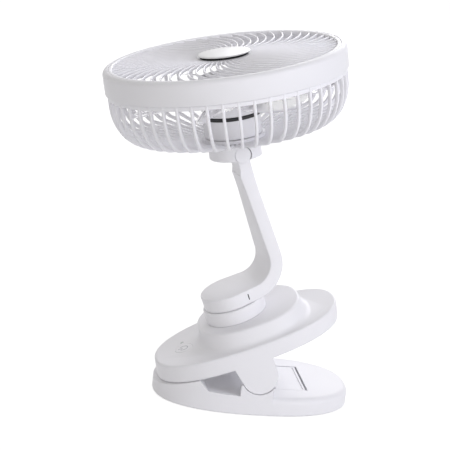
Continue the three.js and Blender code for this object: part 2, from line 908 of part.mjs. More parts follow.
function chargingPort() {
  const outer = portHole(0);
  const y = housingWidth / 2;
  const across = portWidth / 2 - portWall;
  const up = portHeight / 2 - portWall;
  const back = y - portDepth + portFloor;
  const mouth = block(housingCentre - across, housingCentre + across, back, y + portDepth + toolOver,
    portZ - up, portZ + up);
  const half = portWidth / 2 - tongueInset;
  const tongue = block(housingCentre - half, housingCentre + half, back - portWall, back + tongueLength,
    portZ - tongueHeight / 2, portZ + tongueHeight / 2);
  const front = block(-upperLength, upperLength, y - portSink, upperWidth, 0, housingTop);
  return cut(join(cut(outer, mouth), tongue), front);
}

function batteryCell() {
  const half = cellLength / 2;
  return join(
    rod(cellRadius, -half, half, cellX, cellZ),
    rod(cellRadius / 3, half - cellTip, half + cellTip, cellX, cellZ, smallSides),
  );
}

function batteryCradle() {
  const [front, back] = [cellX - cellRadius - cradleWall, cellX + cellRadius + cradleWall];
  const half = cradleRib / 2;
  const rib = (y) => block(front, back, y - half, y + half, cradleBottom, cellZ - toolOver);
  const body = join(
    block(front, back, -cellLength / 3, cellLength / 3, cradleBottom, cradleBottom + cradleFloor),
    rib(-cellLength / 3),
    rib(0),
    rib(cellLength / 3),
  );
  return cut(body, rod(cellRadius + seatGap, -cellLength, cellLength, cellX, cellZ));
}

function swivelCollar() {
  const bottom = housingTop + seatGap;
  const underside = collarTop - collarWeb;
  return turned([
    [collarRadius - wall, bottom],
    [collarRadius, bottom],
    [collarRadius, collarTop - collarEdge],
    [collarRadius - collarEdge, collarTop],
    [shaftRadius + runGap, collarTop],
    [shaftRadius + runGap, bottom],
    [shaftRadius + runGap + wall, bottom],
    [shaftRadius + runGap + wall, underside],
    [collarRadius - wall, underside],
    [collarRadius - wall, bottom],
  ], jawSides);
}

// ---------------------------------------------------------------------------
// Arm
// ---------------------------------------------------------------------------

function armProfile() {
  const back = uprightInside + armThickness;
  const shape = new THREE.Shape();
  shape.moveTo(-footRadius - toolOver, footBottom);
  shape.lineTo(bendStart, footBottom);
  shape.absarc(bendStart, bendCentreZ, bendCentreZ - footBottom, -Math.PI / 2, -Math.PI / 4);
  shape.absarc(back - heelRadius, bendCentreZ + heelRise, heelRadius, -Math.PI / 5, 0);
  shape.lineTo(back, pivotZ - armFlare);
  shape.lineTo(uprightX + barrelRadius, pivotZ);
  shape.absarc(uprightX, pivotZ, barrelRadius, 0, Math.PI);
  shape.lineTo(uprightInside, pivotZ - armFlare);
  shape.lineTo(uprightInside, bendCentreZ);
  shape.absarc(bendStart, bendCentreZ, bendRadius, 0, -Math.PI / 2, true);
  shape.lineTo(-footRadius - toolOver, footTop);
  return shape;
}

// Foot seen from above: a round toe that narrows to the upright
function footPlan() {
  const lean = Math.asin((footRadius - elbowWidth / 2) / uprightInside);
  const shape = new THREE.Shape();
  const heel = uprightInside + 2 * armThickness;
  shape.moveTo(heel, -elbowWidth / 2);
  shape.lineTo(heel, elbowWidth / 2);
  shape.lineTo(uprightInside, elbowWidth / 2);
  shape.absarc(0, 0, footRadius, Math.PI / 2 - lean, 1.5 * Math.PI + lean);
  shape.lineTo(uprightInside, -elbowWidth / 2);
  return shape;
}

// Upright seen from its end: it narrows to the part that folds into the hub's slot
function uprightFront() {
  const slotEnd = pivotZ - hubRadius - toolOver;
  const half = [
    [footRadius + toolOver, footBottom - toolOver],
    [footRadius + toolOver, footTop + wall],
    [elbowWidth / 2, bendCentreZ + wall],
    [armTopWidth / 2, slotEnd],
    [armTopWidth / 2, pivotZ + barrelRadius + toolOver],
  ];
  return polygon([...half, ...half.map(([y, z]) => [-y, z]).reverse()]);
}

const leadTurn = new THREE.Vector3(leadRadius, 0, footTop - armThickness / 2);

// Middle of the lead's channel, from the foot round the bend and up to the tilt joint
function armRoute(start, end) {
  const middle = bendRadius + armThickness / 2;
  const steps = 5;
  const bend = Array.from({ length: steps + 1 }, (_, i) => {
    const angle = (i / steps) * (Math.PI / 2);
    const [x, z] = [bendStart + middle * Math.sin(angle), bendCentreZ - middle * Math.cos(angle)];
    return new THREE.Vector3(x, 0, z);
  });
  return [...start, ...bend, new THREE.Vector3(uprightX, 0, end)];
}

function armShell() {
  const front = plate(uprightFront(), -pivotHeight, pivotHeight);
  front.applyMatrix4(new THREE.Matrix4().set(0, 0, 1, 0, 1, 0, 0, 0, 0, 1, 0, 0, 0, 0, 0, 1));
  const body = overlap(
    slab(armProfile(), -footRadius - toolOver, footRadius + toolOver),
    plate(footPlan(), footBottom, pivotZ + barrelRadius + toolOver),
    front,
  );
  const pocket = column(footRadius - wall, footBottom - toolOver, flangeBottom);
  const well = column(shaftFlange + seatGap, footBottom, flangeBottom + flangeThickness + seatGap);
  const scoopTop = pivotZ - hubDrop - toolOver;
  const scoop = block(uprightInside - barrelRadius, uprightInside + scoopDepth, -armTopWidth, armTopWidth,
    scoopTop - scoopLength, scoopTop);
  scoop.translate(-uprightInside, 0, -scoopTop + scoopLength);
  scoop.rotateY(turn(scoopLean));
  scoop.translate(uprightInside, 0, scoopTop - scoopLength);
  return cut(
    body,
    pocket,
    well,
    column(shaftBore, flangeBottom, leadTurn.z + channelRadius, 0, 0, smallSides),
    scoop,
    tube(armRoute([leadTurn], pivotZ), channelRadius, 6),
    rod(axleRadius + boreFit, -armTopWidth, armTopWidth, uprightX, pivotZ, smallSides),
  );
}

function armLead() {
  const drop = shaftBottom - leadTail;
  const start = [new THREE.Vector3(0, 0, drop), new THREE.Vector3(0, 0, leadTurn.z - leadRadius), leadTurn];
  return tube(armRoute(start, pivotZ - axleRadius - leadStop), leadRadius, 6);
}

function footPlate() {
  const top = footBottom + wall;
  return ring(shaftRadius + seatGap, footRadius - wall - seatGap, plateSeat, top, roundSides);
}

function swivelShaft() {
  const top = flangeBottom + flangeThickness;
  return turned([
    [shaftBore, shaftBottom],
    [shaftRadius, shaftBottom],
    [shaftRadius, flangeBottom],
    [shaftFlange, flangeBottom],
    [shaftFlange, top],
    [shaftBore, top],
    [shaftBore, shaftBottom],
  ]);
}

function swivelWasher() {
  const top = housingTop - wall - seatGap;
  return ring(shaftRadius + seatGap, nutRadius + washerLip, top - washerThickness, top, roundSides);
}

function swivelNut() {
  const top = housingTop - wall - washerThickness - 2 * seatGap;
  const body = column(nutRadius, top - nutHeight, top, 0, 0, 6);
  return cut(body, column(shaftRadius + seatGap, top - nutHeight - toolOver, top + toolOver));
}

function tiltAxle() {
  const half = capInside - seatGap;
  return rod(axleRadius, -half, half, uprightX, pivotZ, smallSides);
}

function tiltCap(side) {
  const outside = capInside + capThickness;
  const body = rod(barrelRadius, capInside, outside - capEdge, uprightX, pivotZ);
  const crown = rod(barrelRadius - capEdge, capInside + capEdge, outside, uprightX, pivotZ);
  const cap = join(body, crown);
  return side < 0 ? cap.rotateZ(Math.PI).translate(2 * uprightX, 0, 0) : cap;
}

// ---------------------------------------------------------------------------
// Head
// ---------------------------------------------------------------------------

function hubNotch(side) {
  const inner = side * (capInside - seatGap);
  const outer = side * hubRadius * 2;
  return rod(barrelRadius + runGap, Math.min(inner, outer), Math.max(inner, outer));
}

// Slot for the arm: closed towards -X, open towards +X, where the upright folds in
function hubSlot() {
  const room = barrelRadius + runGap + seatGap;
  const shape = new THREE.Shape();
  shape.moveTo(hubRadius * 2, room);
  shape.lineTo(0, room);
  shape.absarc(0, 0, room, Math.PI / 2, Math.PI);
  shape.lineTo(-room, -hubRadius);
  shape.lineTo(hubRadius * 2, -hubRadius);
  return slab(shape, -slotHalf, slotHalf);
}

function rearHub() {
  const body = turned([
    [0, -hubDrop],
    [hubRadius - hubEdge, -hubDrop],
    [hubRadius, -hubDrop + hubEdge],
    [hubRadius, hubTop - wall],
    [motorRadius + hubFlange, hubTop - wall],
    [motorRadius + hubFlange, hubTop],
    [0, hubTop],
  ]);
  return cut(
    body,
    hubSlot(),
    hubNotch(-1),
    hubNotch(1),
    rod(axleRadius + boreFit, -hubRadius, hubRadius, 0, 0, smallSides),
    column(channelRadius, barrelRadius, hubTop + toolOver, 0, 0, smallSides),
    ...motorScrewHoles(barrelRadius, hubTop + toolOver),
  );
}

function motorScrewPlaces() {
  return [90, 210, 330].map((angle) => (
    [motorScrewCircle * Math.cos(turn(angle)), motorScrewCircle * Math.sin(turn(angle))]
  ));
}

function motorScrewHoles(z0, z1) {
  return motorScrewPlaces().map(([x, y]) => column(screwRadius + seatGap, z0, z1, x, y, smallSides));
}

// Middle line of a cage rib as [radius, depth] pairs, from the band to the hub
function cageLine() {
  const half = cageRibDepth / 2;
  const points = [[cageRadius - half, bandHeight + cageLap], [cageRadius - half, cageStraight]];
  const steps = 3;
  for (let i = 1; i <= steps; i += 1) {
    const angle = (i / steps) * turn(bowlTurn);
    points.push([
      bowlRadius + (cageRadius - half - bowlRadius) * Math.cos(angle),
      cageStraight + (bowlDepth - cageStraight) * Math.sin(angle),
    ]);
  }
  points.push([hubRadius + cageSeat / 2, rearDepth - half]);
  return points;
}

// Flat strip of the rib's side view, thick enough on both sides of its middle line
function ribShape(line, thickness) {
  const half = thickness / 2;
  const sides = [[], []];
  line.forEach(([r, d], i) => {
    const before = line[Math.max(i - 1, 0)];
    const after = line[Math.min(i + 1, line.length - 1)];
    const along = new THREE.Vector2(after[0] - before[0], before[1] - after[1]).normalize();
    const z = grilleHeight - d;
    sides[0].push([r - along.y * half, z + along.x * half]);
    sides[1].unshift([r + along.y * half, z - along.x * half]);
  });
  return polygon([...sides[0], ...sides[1]]);
}

function rearCage() {
  const rib = slab(ribShape(cageLine(), cageRibDepth), -cageRibWidth / 2, cageRibWidth / 2);
  const ribs = Array.from({ length: cageRibs }, (_, i) => (
    rib.clone().rotateZ(turn(cagePhase) + (i / cageRibs) * 2 * Math.PI)
  ));
  const rimTop = grilleHeight - bandHeight - seatGap;
  const rim = ring(cageRadius - cageRim, cageRadius, rimTop - cageRimHeight, rimTop);
  const inner = hubRadius + seatGap;
  const rear = grilleHeight - rearDepth;
  return join(rim, ring(inner, inner + cageSeat, rear, rear + cageSeatHeight, roundSides), ...ribs);
}

function ring(inner, outer, z0, z1, sides = rimSides) {
  return turned([[inner, z0], [outer, z0], [outer, z1], [inner, z1], [inner, z0]], sides);
}

function frontBand() {
  const inner = bandRadius - bandWall;
  const top = grilleHeight;
  const bottom = top - bandHeight;
  const round = shoulder(bandShoulder, top).map(([inset, z]) => [bandRadius - inset, z]);
  return turned([
    [inner, bottom],
    [bandRadius, bottom],
    ...round,
    [grilleRadius + seatGap, top],
    [grilleRadius + seatGap, top - bandSeat],
    [inner, top - bandSeat - bandHaunch],
    [inner, bottom],
  ], rimSides);
}

function frontRib(index) {
  const steps = 3;
  const start = discRadius + discLip / 2;
  const end = grilleRadius - rimWidth + frontRibLap;
  const base = (index / frontRibs) * 2 * Math.PI;
  const sides = [[], []];
  for (let i = 0; i <= steps; i += 1) {
    const share = i / steps;
    const radius = start + (end - start) * share;
    const sweep = turn(frontSweep);
    const angle = base + sweep * share ** sweepPower;
    const slope = Math.atan(radius * sweep * sweepPower * share ** (sweepPower - 1) / (end - start));
    const [nx, ny] = [-Math.sin(angle + slope), Math.cos(angle + slope)];
    const half = frontRibWidth / 2;
    const [x, y] = [radius * Math.cos(angle), radius * Math.sin(angle)];
    sides[0].push([x + nx * half, y + ny * half]);
    sides[1].unshift([x - nx * half, y - ny * half]);
  }
  const top = grilleHeight - frontRibSink;
  return plate(polygon([...sides[0], ...sides[1]]), top - frontRibDepth, top);
}

function frontGrille() {
  const ribs = Array.from({ length: frontRibs }, (_, i) => frontRib(i));
  const seat = grilleHeight - discSeatSink;
  return join(
    ring(grilleRadius - rimWidth, grilleRadius, grilleHeight - rimDepth, grilleHeight),
    ring(discRadius - discSeat, discRadius + discLip, seat - discSeatDepth, seat, roundSides),
    ...ribs,
  );
}

function centreDisc() {
  const bottom = grilleHeight - discSeatSink + seatGap;
  const top = grilleHeight + discProud;
  const plug = discRadius - discSeat - seatGap;
  return turned([
    [0, bottom - discHeight],
    [plug, bottom - discHeight],
    [plug, bottom],
    [discRadius - discEdge / 2, bottom + seatGap],
    [discRadius, top - discEdge],
    [discRadius - discEdge, top],
    [0, top + discCrown],
  ]);
}

function motorHousing() {
  const bottom = hubTop + seatGap;
  const top = ringZ - seatGap;
  return cut(
    column(motorRadius, bottom, top),
    column(motorRadius - wall, bottom + wall, top + toolOver),
    column(motorShaftRadius + seatGap, bottom - toolOver, top),
    ...motorScrewHoles(bottom - toolOver, bottom + wall + toolOver),
  );
}

function motorRing() {
  return ring(motorRadius - wall, motorRadius + ringProud, ringZ, ringZ + ringHeight);
}

function motorCoil() {
  const bottom = hubTop + wall + 2 * seatGap;
  const poles = Array.from({ length: coilPoles }, (_, i) => (
    block(coilRadius - wall, motorRadius - wall - poleGap, -poleWidth / 2, poleWidth / 2,
      bottom + poleStart, bottom + poleStart + poleHeight).rotateZ((i / coilPoles) * 2 * Math.PI)
  ));
  const core = ring(motorShaftRadius + coilWall, coilRadius, bottom, bottom + coilHeight, roundSides);
  return join(core, ...poles);
}

function motorShaft() {
  const top = rotorZ + rotorHeight - wall - seatGap;
  return column(motorShaftRadius, hubTop + wall + 2 * seatGap, top, 0, 0, smallSides);
}

function blade(index) {
  const [root, tip] = [motorRadius - wall / 2, bladeRadius];
  const body = new THREE.BoxGeometry(1, 1, 1, 5, 3, 1);
  const points = body.attributes.position;
  const middle = rotorZ + rotorHeight / 2;
  for (let i = 0; i < points.count; i += 1) {
    const share = points.getX(i) + 0.5;
    const across = points.getY(i);
    const radius = root + (tip - root) * share;
    const pitch = turn(bladeRootPitch + (bladeTipPitch - bladeRootPitch) * share);
    const fullness = 0.55 + 0.6 * share - 0.35 * share * share;
    const chord = bladeChord * fullness * Math.sqrt(1 - 0.55 * share ** 6);
    const arc = across * chord * Math.cos(pitch);
    const camber = bladeCamber * (1 - 4 * across * across);
    const angle = arc / radius + turn(bladeLead) * share;
    const rise = across * chord * Math.sin(pitch) + camber + points.getZ(i) * bladeThickness;
    points.setXYZ(i, radius * Math.cos(angle), radius * Math.sin(angle), middle + rise * bladeFlatness);
  }
  return body.rotateZ(turn(bladePhase) + (index / bladeCount) * 2 * Math.PI);
}

function bladeRotor() {
  const top = rotorZ + rotorHeight;
  const cup = turned([
    [0, rotorZ + rotorHubDrop],
    [motorShaftRadius + wall, rotorZ + rotorHubDrop],
    [motorShaftRadius + wall, top - wall],
    [motorRadius - wall, top - wall],
    [motorRadius - wall, rotorZ],
    [motorRadius, rotorZ],
    [motorRadius, top - rotorEdge],
    [motorRadius - rotorEdge, top],
    [0, top],
  ]);
  const inside = column(motorRadius - wall, rotorZ - rotorHeight, top - wall);
  const blades = Array.from({ length: bladeCount }, (_, i) => cut(blade(i), inside));
  return cut(
    join(cup, ...blades),
    column(motorShaftRadius + boreFit, rotorZ - toolOver, top - wall, 0, 0, smallSides),
  );
}

// ---------------------------------------------------------------------------
// Assembly
// ---------------------------------------------------------------------------

function lowerJaw() {
  const group = new THREE.Group();
  group.add(
    piece('lower_shell', lowerShell(), finishes.white),
    piece('lower_base', lowerBase(), finishes.white),
    piece('rubber_foot', rubberFoot(), finishes.rubber),
    piece('lower_grip_pad', lowerGripPad(), finishes.rubber),
    piece('hanging_hook', hangingHook(), finishes.white),
    piece('hook_pin', hookPin(), finishes.steel),
    piece('hinge_pin', hingePin(), finishes.steel),
    piece('torsion_spring', torsionSpring(), finishes.steel),
  );
  lowerScrews.forEach(([x, y], i) => {
    group.add(piece(`base_screw_${i + 1}`, screw(x, y, coverBottom + screwSink), finishes.steel));
  });
  return group;
}

function upperJaw() {
  const group = new THREE.Group();
  group.add(
    piece('upper_shell', upperShell(), finishes.white),
    piece('upper_base', upperBase(), finishes.white),
    piece('upper_grip_pad', upperGripPad(), finishes.rubber),
    piece('power_button', powerButton(), finishes.white),
    piece('indicator_light', indicatorLight(), finishes.lamp),
    piece('circuit_board', circuitBoard(), finishes.board),
    piece('charging_port', chargingPort(), finishes.black),
    piece('battery_cell', batteryCell(), finishes.cell),
    piece('battery_cradle', batteryCradle(), finishes.black),
    piece('swivel_collar', swivelCollar(), finishes.white),
  );
  upperScrews.forEach(([x, y], i) => {
    group.add(piece(`upper_screw_${i + 1}`, screw(x, y, undersideZ + screwSink), finishes.steel));
  });
  group.rotation.y = -turn(jawAngle);
  group.position.set(hingeX, 0, hingeZ);
  return group;
}

function arm() {
  const group = new THREE.Group();
  group.add(
    piece('arm_shell', armShell(), finishes.white),
    piece('arm_lead', armLead(), finishes.black),
    piece('foot_plate', footPlate(), finishes.white),
    piece('swivel_shaft', swivelShaft(), finishes.steel),
    piece('swivel_washer', swivelWasher(), finishes.steel),
    piece('swivel_nut', swivelNut(), finishes.steel),
    piece('tilt_axle', tiltAxle(), finishes.steel),
    piece('tilt_cap_near', tiltCap(-1), finishes.white),
    piece('tilt_cap_far', tiltCap(1), finishes.white),
  );
  group.rotation.z = turn(armSwing);
  return group;
}

function head() {
  const group = new THREE.Group();
  group.add(
    piece('rear_hub', rearHub(), finishes.white),
    piece('rear_cage', rearCage(), finishes.cage),
    piece('front_band', frontBand(), finishes.white),
    piece('front_grille', frontGrille(), finishes.cage),
    piece('centre_disc', centreDisc(), finishes.silver),
    piece('motor_housing', motorHousing(), finishes.white),
    piece('motor_ring', motorRing(), finishes.black),
    piece('motor_coil', motorCoil(), finishes.copper),
    piece('motor_shaft', motorShaft(), finishes.steel),
    piece('blade_rotor', bladeRotor(), finishes.clear),
  );
  const headTop = hubTop + wall + screwHeadHeight + 2 * seatGap;
  motorScrewPlaces().forEach(([x, y], i) => {
    const fixing = screw(0, 0, 0).rotateX(Math.PI).translate(x, y, headTop);
    group.add(piece(`motor_screw_${i + 1}`, fixing, finishes.steel));
  });
  group.rotation.y = turn(headTilt);
  group.position.set(uprightX, 0, pivotZ);
  return group;
}

const fan = new THREE.Group();
const jaw = upperJaw();
const upright = arm();
upright.add(head());
jaw.add(upright);
fan.add(lowerJaw(), jaw);

export default fan;
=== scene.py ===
import json
import math

import bpy
from mathutils import Matrix, Vector


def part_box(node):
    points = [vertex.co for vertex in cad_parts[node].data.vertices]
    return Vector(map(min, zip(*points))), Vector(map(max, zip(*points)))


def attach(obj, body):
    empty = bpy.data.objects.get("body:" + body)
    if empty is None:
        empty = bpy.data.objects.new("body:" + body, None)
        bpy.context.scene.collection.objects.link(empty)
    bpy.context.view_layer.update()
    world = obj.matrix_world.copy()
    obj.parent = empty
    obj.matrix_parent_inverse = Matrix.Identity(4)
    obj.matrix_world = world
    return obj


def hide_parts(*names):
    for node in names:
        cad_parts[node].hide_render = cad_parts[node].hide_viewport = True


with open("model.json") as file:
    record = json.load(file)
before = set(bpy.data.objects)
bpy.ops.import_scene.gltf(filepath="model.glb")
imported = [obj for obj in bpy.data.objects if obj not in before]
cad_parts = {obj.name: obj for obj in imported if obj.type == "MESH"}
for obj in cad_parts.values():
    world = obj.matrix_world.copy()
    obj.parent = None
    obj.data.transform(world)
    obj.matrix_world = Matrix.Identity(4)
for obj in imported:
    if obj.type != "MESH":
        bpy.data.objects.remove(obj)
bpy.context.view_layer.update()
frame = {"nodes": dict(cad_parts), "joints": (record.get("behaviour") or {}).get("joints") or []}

bl_info = {
    "name": "Clip fan",
    "version": (1, 0, 0),
    "blender": (4, 5, 0),
    "location": "View3D > Sidebar > Clip fan",
    "description": "A clip-on table fan: spring clip, swivelling arm and tilting round head",
    "category": "Add Mesh",
}

MM = 0.001

# Sizes that more than one piece uses
SEAT_GAP = 0.3 * MM  # between two pieces of one body
RUN_GAP = 0.4 * MM  # where one body turns against another
MOUTH_GAP = 0.45 * MM  # between the closed jaws
WALL = 2.2 * MM
CHEEK = 3.2 * MM  # wall of the cheeks and of the ears
CAP_INSET = 1.6 * MM  # axle cap in from the hub's side
CAP_DEPTH = 3.4 * MM
SCREW_SEAT_RADIUS = 2.5 * MM
SCREW_SEAT_DEPTH = 1.4 * MM
FACET = 0.2 * MM  # how far the faceted solids stay inside their round sizes

# Cross grooves of the grip pads
GROOVES = 6
FIRST_GROOVE = 2.4 * MM
GROOVE_PITCH = 2.6 * MM
GROOVE_WIDTH = 0.9 * MM
GROOVE_DEPTH = 0.35 * MM

LIGHT_PASSED = 0.85  # share of the light that the clear plastic lets through

# Sides of what is turned or drawn out
JAW_SIDES = 160
RIM_SIDES = 192
ROUND_SIDES = 96
SMALL_SIDES = 32


# Frames of the jaws, the arm and the head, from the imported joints


def placed(origin, x, y, z):
    """The matrix of a frame with that origin and those axes."""
    turn = Matrix((x, y, z)).transposed()
    return Matrix.Translation(origin) @ turn.to_4x4()


JOINTS = {joint["name"]: joint for joint in frame["joints"]}
HINGE = Vector(JOINTS["jaw_hinge"]["pos_m"])
ACROSS = Vector((0, 1, 0))
PLATE_UP = Vector(JOINTS["arm_swivel"]["axis"]).normalized()
PIVOT = Vector(JOINTS["head_tilt"]["pos_m"])
TILT_AXIS = Vector(JOINTS["head_tilt"]["axis"]).normalized()
HEAD_UP = Vector(JOINTS["blade_spin"]["axis"]).normalized()

# Pieces are drawn in these frames: CLIP is the table's, JAW and ARM start on the hinge with Z along the
# swivel axis, and HEAD starts on the tilt axle with Z out of the grille
CLIP = Matrix.Identity(4)
JAW = placed(HINGE, ACROSS.cross(PLATE_UP), ACROSS, PLATE_UP)
ARM = placed(HINGE, TILT_AXIS.cross(PLATE_UP), TILT_AXIS, PLATE_UP)
HEAD = placed(PIVOT, TILT_AXIS.cross(HEAD_UP), TILT_AXIS, HEAD_UP)
JAW_TILT = math.atan2(-PLATE_UP.x, PLATE_UP.z)


# Sizes and colours that a user would change


def distance(name, description, millimetres):
    return bpy.props.FloatProperty(
        name=name, description=description, default=millimetres * MM, unit="LENGTH", subtype="DISTANCE"
    )


def angle(name, description, degrees):
    return bpy.props.FloatProperty(
        name=name, description=description, default=math.radians(degrees), unit="ROTATION", subtype="ANGLE"
    )


def share(name, description, default):
    return bpy.props.FloatProperty(name=name, description=description, default=default)


def count(name, description, default):
    return bpy.props.IntProperty(name=name, description=description, default=default, min=1)


def colour(name, description, default):
    return bpy.props.FloatVectorProperty(
        name=name, description=description, default=default, subtype="COLOR", size=3, min=0, max=1
    )


class LowerJawSizes(bpy.types.PropertyGroup):
    """Sizes of the clip's lower jaw"""

    length: distance("Length", "Mouth end to handle end", 144)
    width: distance("Width", "Widest place across", 87.4)
    squareness: share("Squareness", "2 is an ellipse, more is squarer", 2.36)
    taper: share("Taper", "Share by which the handle end is wider", 0.05)
    height: distance("Height", "Table to the top of the handle", 13.6)
    crown: distance("Crown", "Round of the top edge", 4.5)
    rim: distance("Rim", "Shell rim above the table", 0.5)
    chamfer: distance("Chamfer", "Slope at the rim", 0.8)
    lip_end: distance("Lip end", "Back end of the raised lip, along the clip", -43.8)
    lip_slope: distance("Lip slope", "Length of the slope behind the lip", 6.5)
    sill: distance("Sill", "Side wall of the throat above the handle's top", 0.9)
    saddle_front: distance("Saddle front", "Front of the saddle round the hinge", -14.5)
    saddle_rear: distance("Saddle rear", "Rear of the saddle round the hinge", 9)
    saddle_height: distance("Saddle height", "Top of the saddle", 22.8)
    ear_radius: distance("Ear radius", "Round top of the two ears on the hinge pin", 10.2)
    pad_depth: distance("Pad depth", "Thickness of a grip pad", 1)
    pad_inset: distance("Pad inset", "Grip pad in from the jaw's edge", 6)
    pad_end: distance("Pad end", "Handle end of the pads, along the plate", -44)


class HookSizes(bpy.types.PropertyGroup):
    """Sizes of the hanging hook in the lower jaw"""

    hinge: distance("Hinge", "Place of its pin along the clip", 15.6)
    tip: distance("Tip", "Free edge along the clip", 37.4)
    width: distance("Width", "Width across the clip", 45)
    thickness: distance("Thickness", "Thickness of the leaf", 2.3)
    gap: distance("Finger gap", "Gap at its free edge", 1.2)
    side_gap: distance("Side gap", "Gap along its sides and its hinge", 0.9)


class UpperJawSizes(bpy.types.PropertyGroup):
    """Sizes of the clip's upper jaw and its housing"""

    length: distance("Length", "Mouth end to handle end", 139.2)
    width: distance("Width", "Widest place across", 85.2)
    centre: distance("Centre", "Middle of the plate from the hinge", 2.4)
    taper: share("Taper", "Share by which the handle end is wider", 0.02)
    lean: share("Lean", "Forward shift of the wall for each unit down", 0.18)
    underside: distance("Underside", "Plate's underside above the hinge", 10.8)
    thickness: distance("Thickness", "Thickness of the plate", 12.7)
    edge: distance("Edge", "Round of the top edge", 1.6)
    foot: distance("Foot", "Round of the lower edge", 1.2)
    cheek_radius: distance("Cheek radius", "Round end of the cheek on the hinge", 12.8)
    cheek_flare: angle("Cheek flare", "Lean of the cheek's front edge", 12.2)
    housing_length: distance("Housing length", "Length of the raised housing", 77.6)
    housing_width: distance("Housing width", "Width of the raised housing", 71.6)
    housing_centre: distance("Housing centre", "Middle of the housing from the hinge", 8.4)
    housing_height: distance("Housing height", "Housing above the plate", 12.4)
    housing_edge: distance("Housing edge", "Round of the housing's top edge", 2)
    flare: distance("Flare", "Hollow round at the housing's foot", 5)
    collar_radius: distance("Collar radius", "Swivel collar on the housing", 22.5)
    collar_height: distance("Collar height", "Height of the swivel collar", 10.2)
    button_place: distance("Button place", "Power button along the plate", -45)
    button_radius: distance("Button radius", "Radius of the power button", 6.6)
    lamp_offset: distance("Lamp offset", "Indicator lamp across from the button", 11)
    lamp_radius: distance("Lamp radius", "Radius of the indicator lamp", 1.3)


class ArmSizes(bpy.types.PropertyGroup):
    """Sizes of the bent arm"""

    foot_radius: distance("Foot radius", "Round toe of the foot", 21.1)
    foot_thickness: distance("Foot thickness", "Thickness of the foot", 10.3)
    thickness: distance("Thickness", "Thickness of the upright", 9.3)
    bend_start: distance("Bend start", "Where the foot's top bends up", 16.2)
    bend_radius: distance("Bend radius", "Inside of the bend", 15.8)
    elbow_width: distance("Elbow width", "Width at the elbow", 35)
    top_width: distance("Top width", "Width at the tilt joint", 20.4)
    barrel: distance("Barrel", "Round end on the tilt axle", 5.9)
    flare: distance("Flare", "Length over which the upright thickens to its barrel", 30)
    edge: distance("Edge", "Round of its long edges", 0.9)
    scoop_length: distance("Scoop length", "Hollow on the inside under the hub", 11)
    scoop_depth: distance("Scoop depth", "Depth of that hollow", 1.6)


class HeadSizes(bpy.types.PropertyGroup):
    """Sizes of the round head"""

    front: distance("Front", "Front plane above the tilt axis", 69.6)
    grille_radius: distance("Grille radius", "Radius of the front grille", 82)
    band_radius: distance("Band radius", "Radius of the front band", 86.4)
    band_height: distance("Band height", "Depth of the front band", 16.7)
    band_shoulder: distance("Band shoulder", "Round front edge of the band", 3.5)
    hub_radius: distance("Hub radius", "Radius of the rear hub", 19.2)
    hub_drop: distance("Hub drop", "Hub's end below the tilt axis", 4)
    hub_top: distance("Hub top", "Hub's top above the tilt axis", 12)
    cage_radius: distance("Cage radius", "Outside of the side ribs", 84.9)
    cage_straight: distance("Cage straight", "Depth at which the ribs bend in", 25)
    bowl_radius: distance("Bowl radius", "Where the bowl meets the rear face", 66.5)
    bowl_depth: distance("Bowl depth", "Depth of the bowl's edge", 51.6)
    rear_depth: distance("Rear depth", "Depth of the rear face at the hub", 63)
    cage_ribs: count("Cage ribs", "Number of ribs round the cage", 50)
    cage_rib_width: distance("Cage rib width", "Width of a cage rib", 2)
    cage_rib_depth: distance("Cage rib depth", "Depth of a cage rib", 2.6)
    cage_phase: angle("Cage phase", "Turn of the first cage rib", -1.4)
    front_ribs: count("Front ribs", "Number of ribs in the front grille", 54)
    front_rib_width: distance("Front rib width", "Width of a front rib", 1.1)
    front_rib_depth: distance("Front rib depth", "Depth of a front rib", 2.2)
    front_sweep: angle("Front sweep", "Turn of a front rib from centre to rim", 28)
    front_rim: distance("Front rim", "Width of the grille's outer rim", 2.6)
    disc_radius: distance("Disc radius", "Radius of the centre disc", 18.6)
    disc_proud: distance("Disc proud", "Centre disc above the grille", 1.8)


class MotorSizes(bpy.types.PropertyGroup):
    """Sizes of the motor and the blades"""

    radius: distance("Radius", "Radius of the motor", 20.6)
    rear_height: distance("Rear height", "Height of the motor's rear half", 13.5)
    ring_height: distance("Ring height", "Height of the dark joint ring", 2.2)
    rotor_height: distance("Rotor height", "Height of the turning half", 27)
    blades: count("Blades", "Number of blades", 7)
    blade_phase: angle("Blade phase", "Turn of the first blade", 27)
    blade_radius: distance("Blade radius", "Tip of a blade from the axis", 76)
    blade_thickness: distance("Blade thickness", "Thickness of a blade", 1.6)
    blade_chord: distance("Blade chord", "Width of a blade", 40)
    root_pitch: angle("Root pitch", "Pitch of a blade at the motor", 42)
    tip_pitch: angle("Tip pitch", "Pitch of a blade at its tip", 24)


class Colours(bpy.types.PropertyGroup):
    """Colours of the finishes"""

    white: colour("White", "White plastic", (0.85, 0.845, 0.868))
    cage: colour("Cage", "White plastic of the ribs", (0.86, 0.855, 0.882))
    silver: colour("Silver", "Satin silver of the centre disc", (0.67, 0.67, 0.67))
    clear: colour("Clear", "Clear plastic of the blades", (0.93, 0.925, 0.955))
    rubber: colour("Rubber", "Grey rubber", (0.42, 0.42, 0.42))
    mark: colour("Mark", "Printed symbol", (0.45, 0.45, 0.48))
    background: colour("Background", "Floor and backdrop", (1.0, 1.0, 1.0))


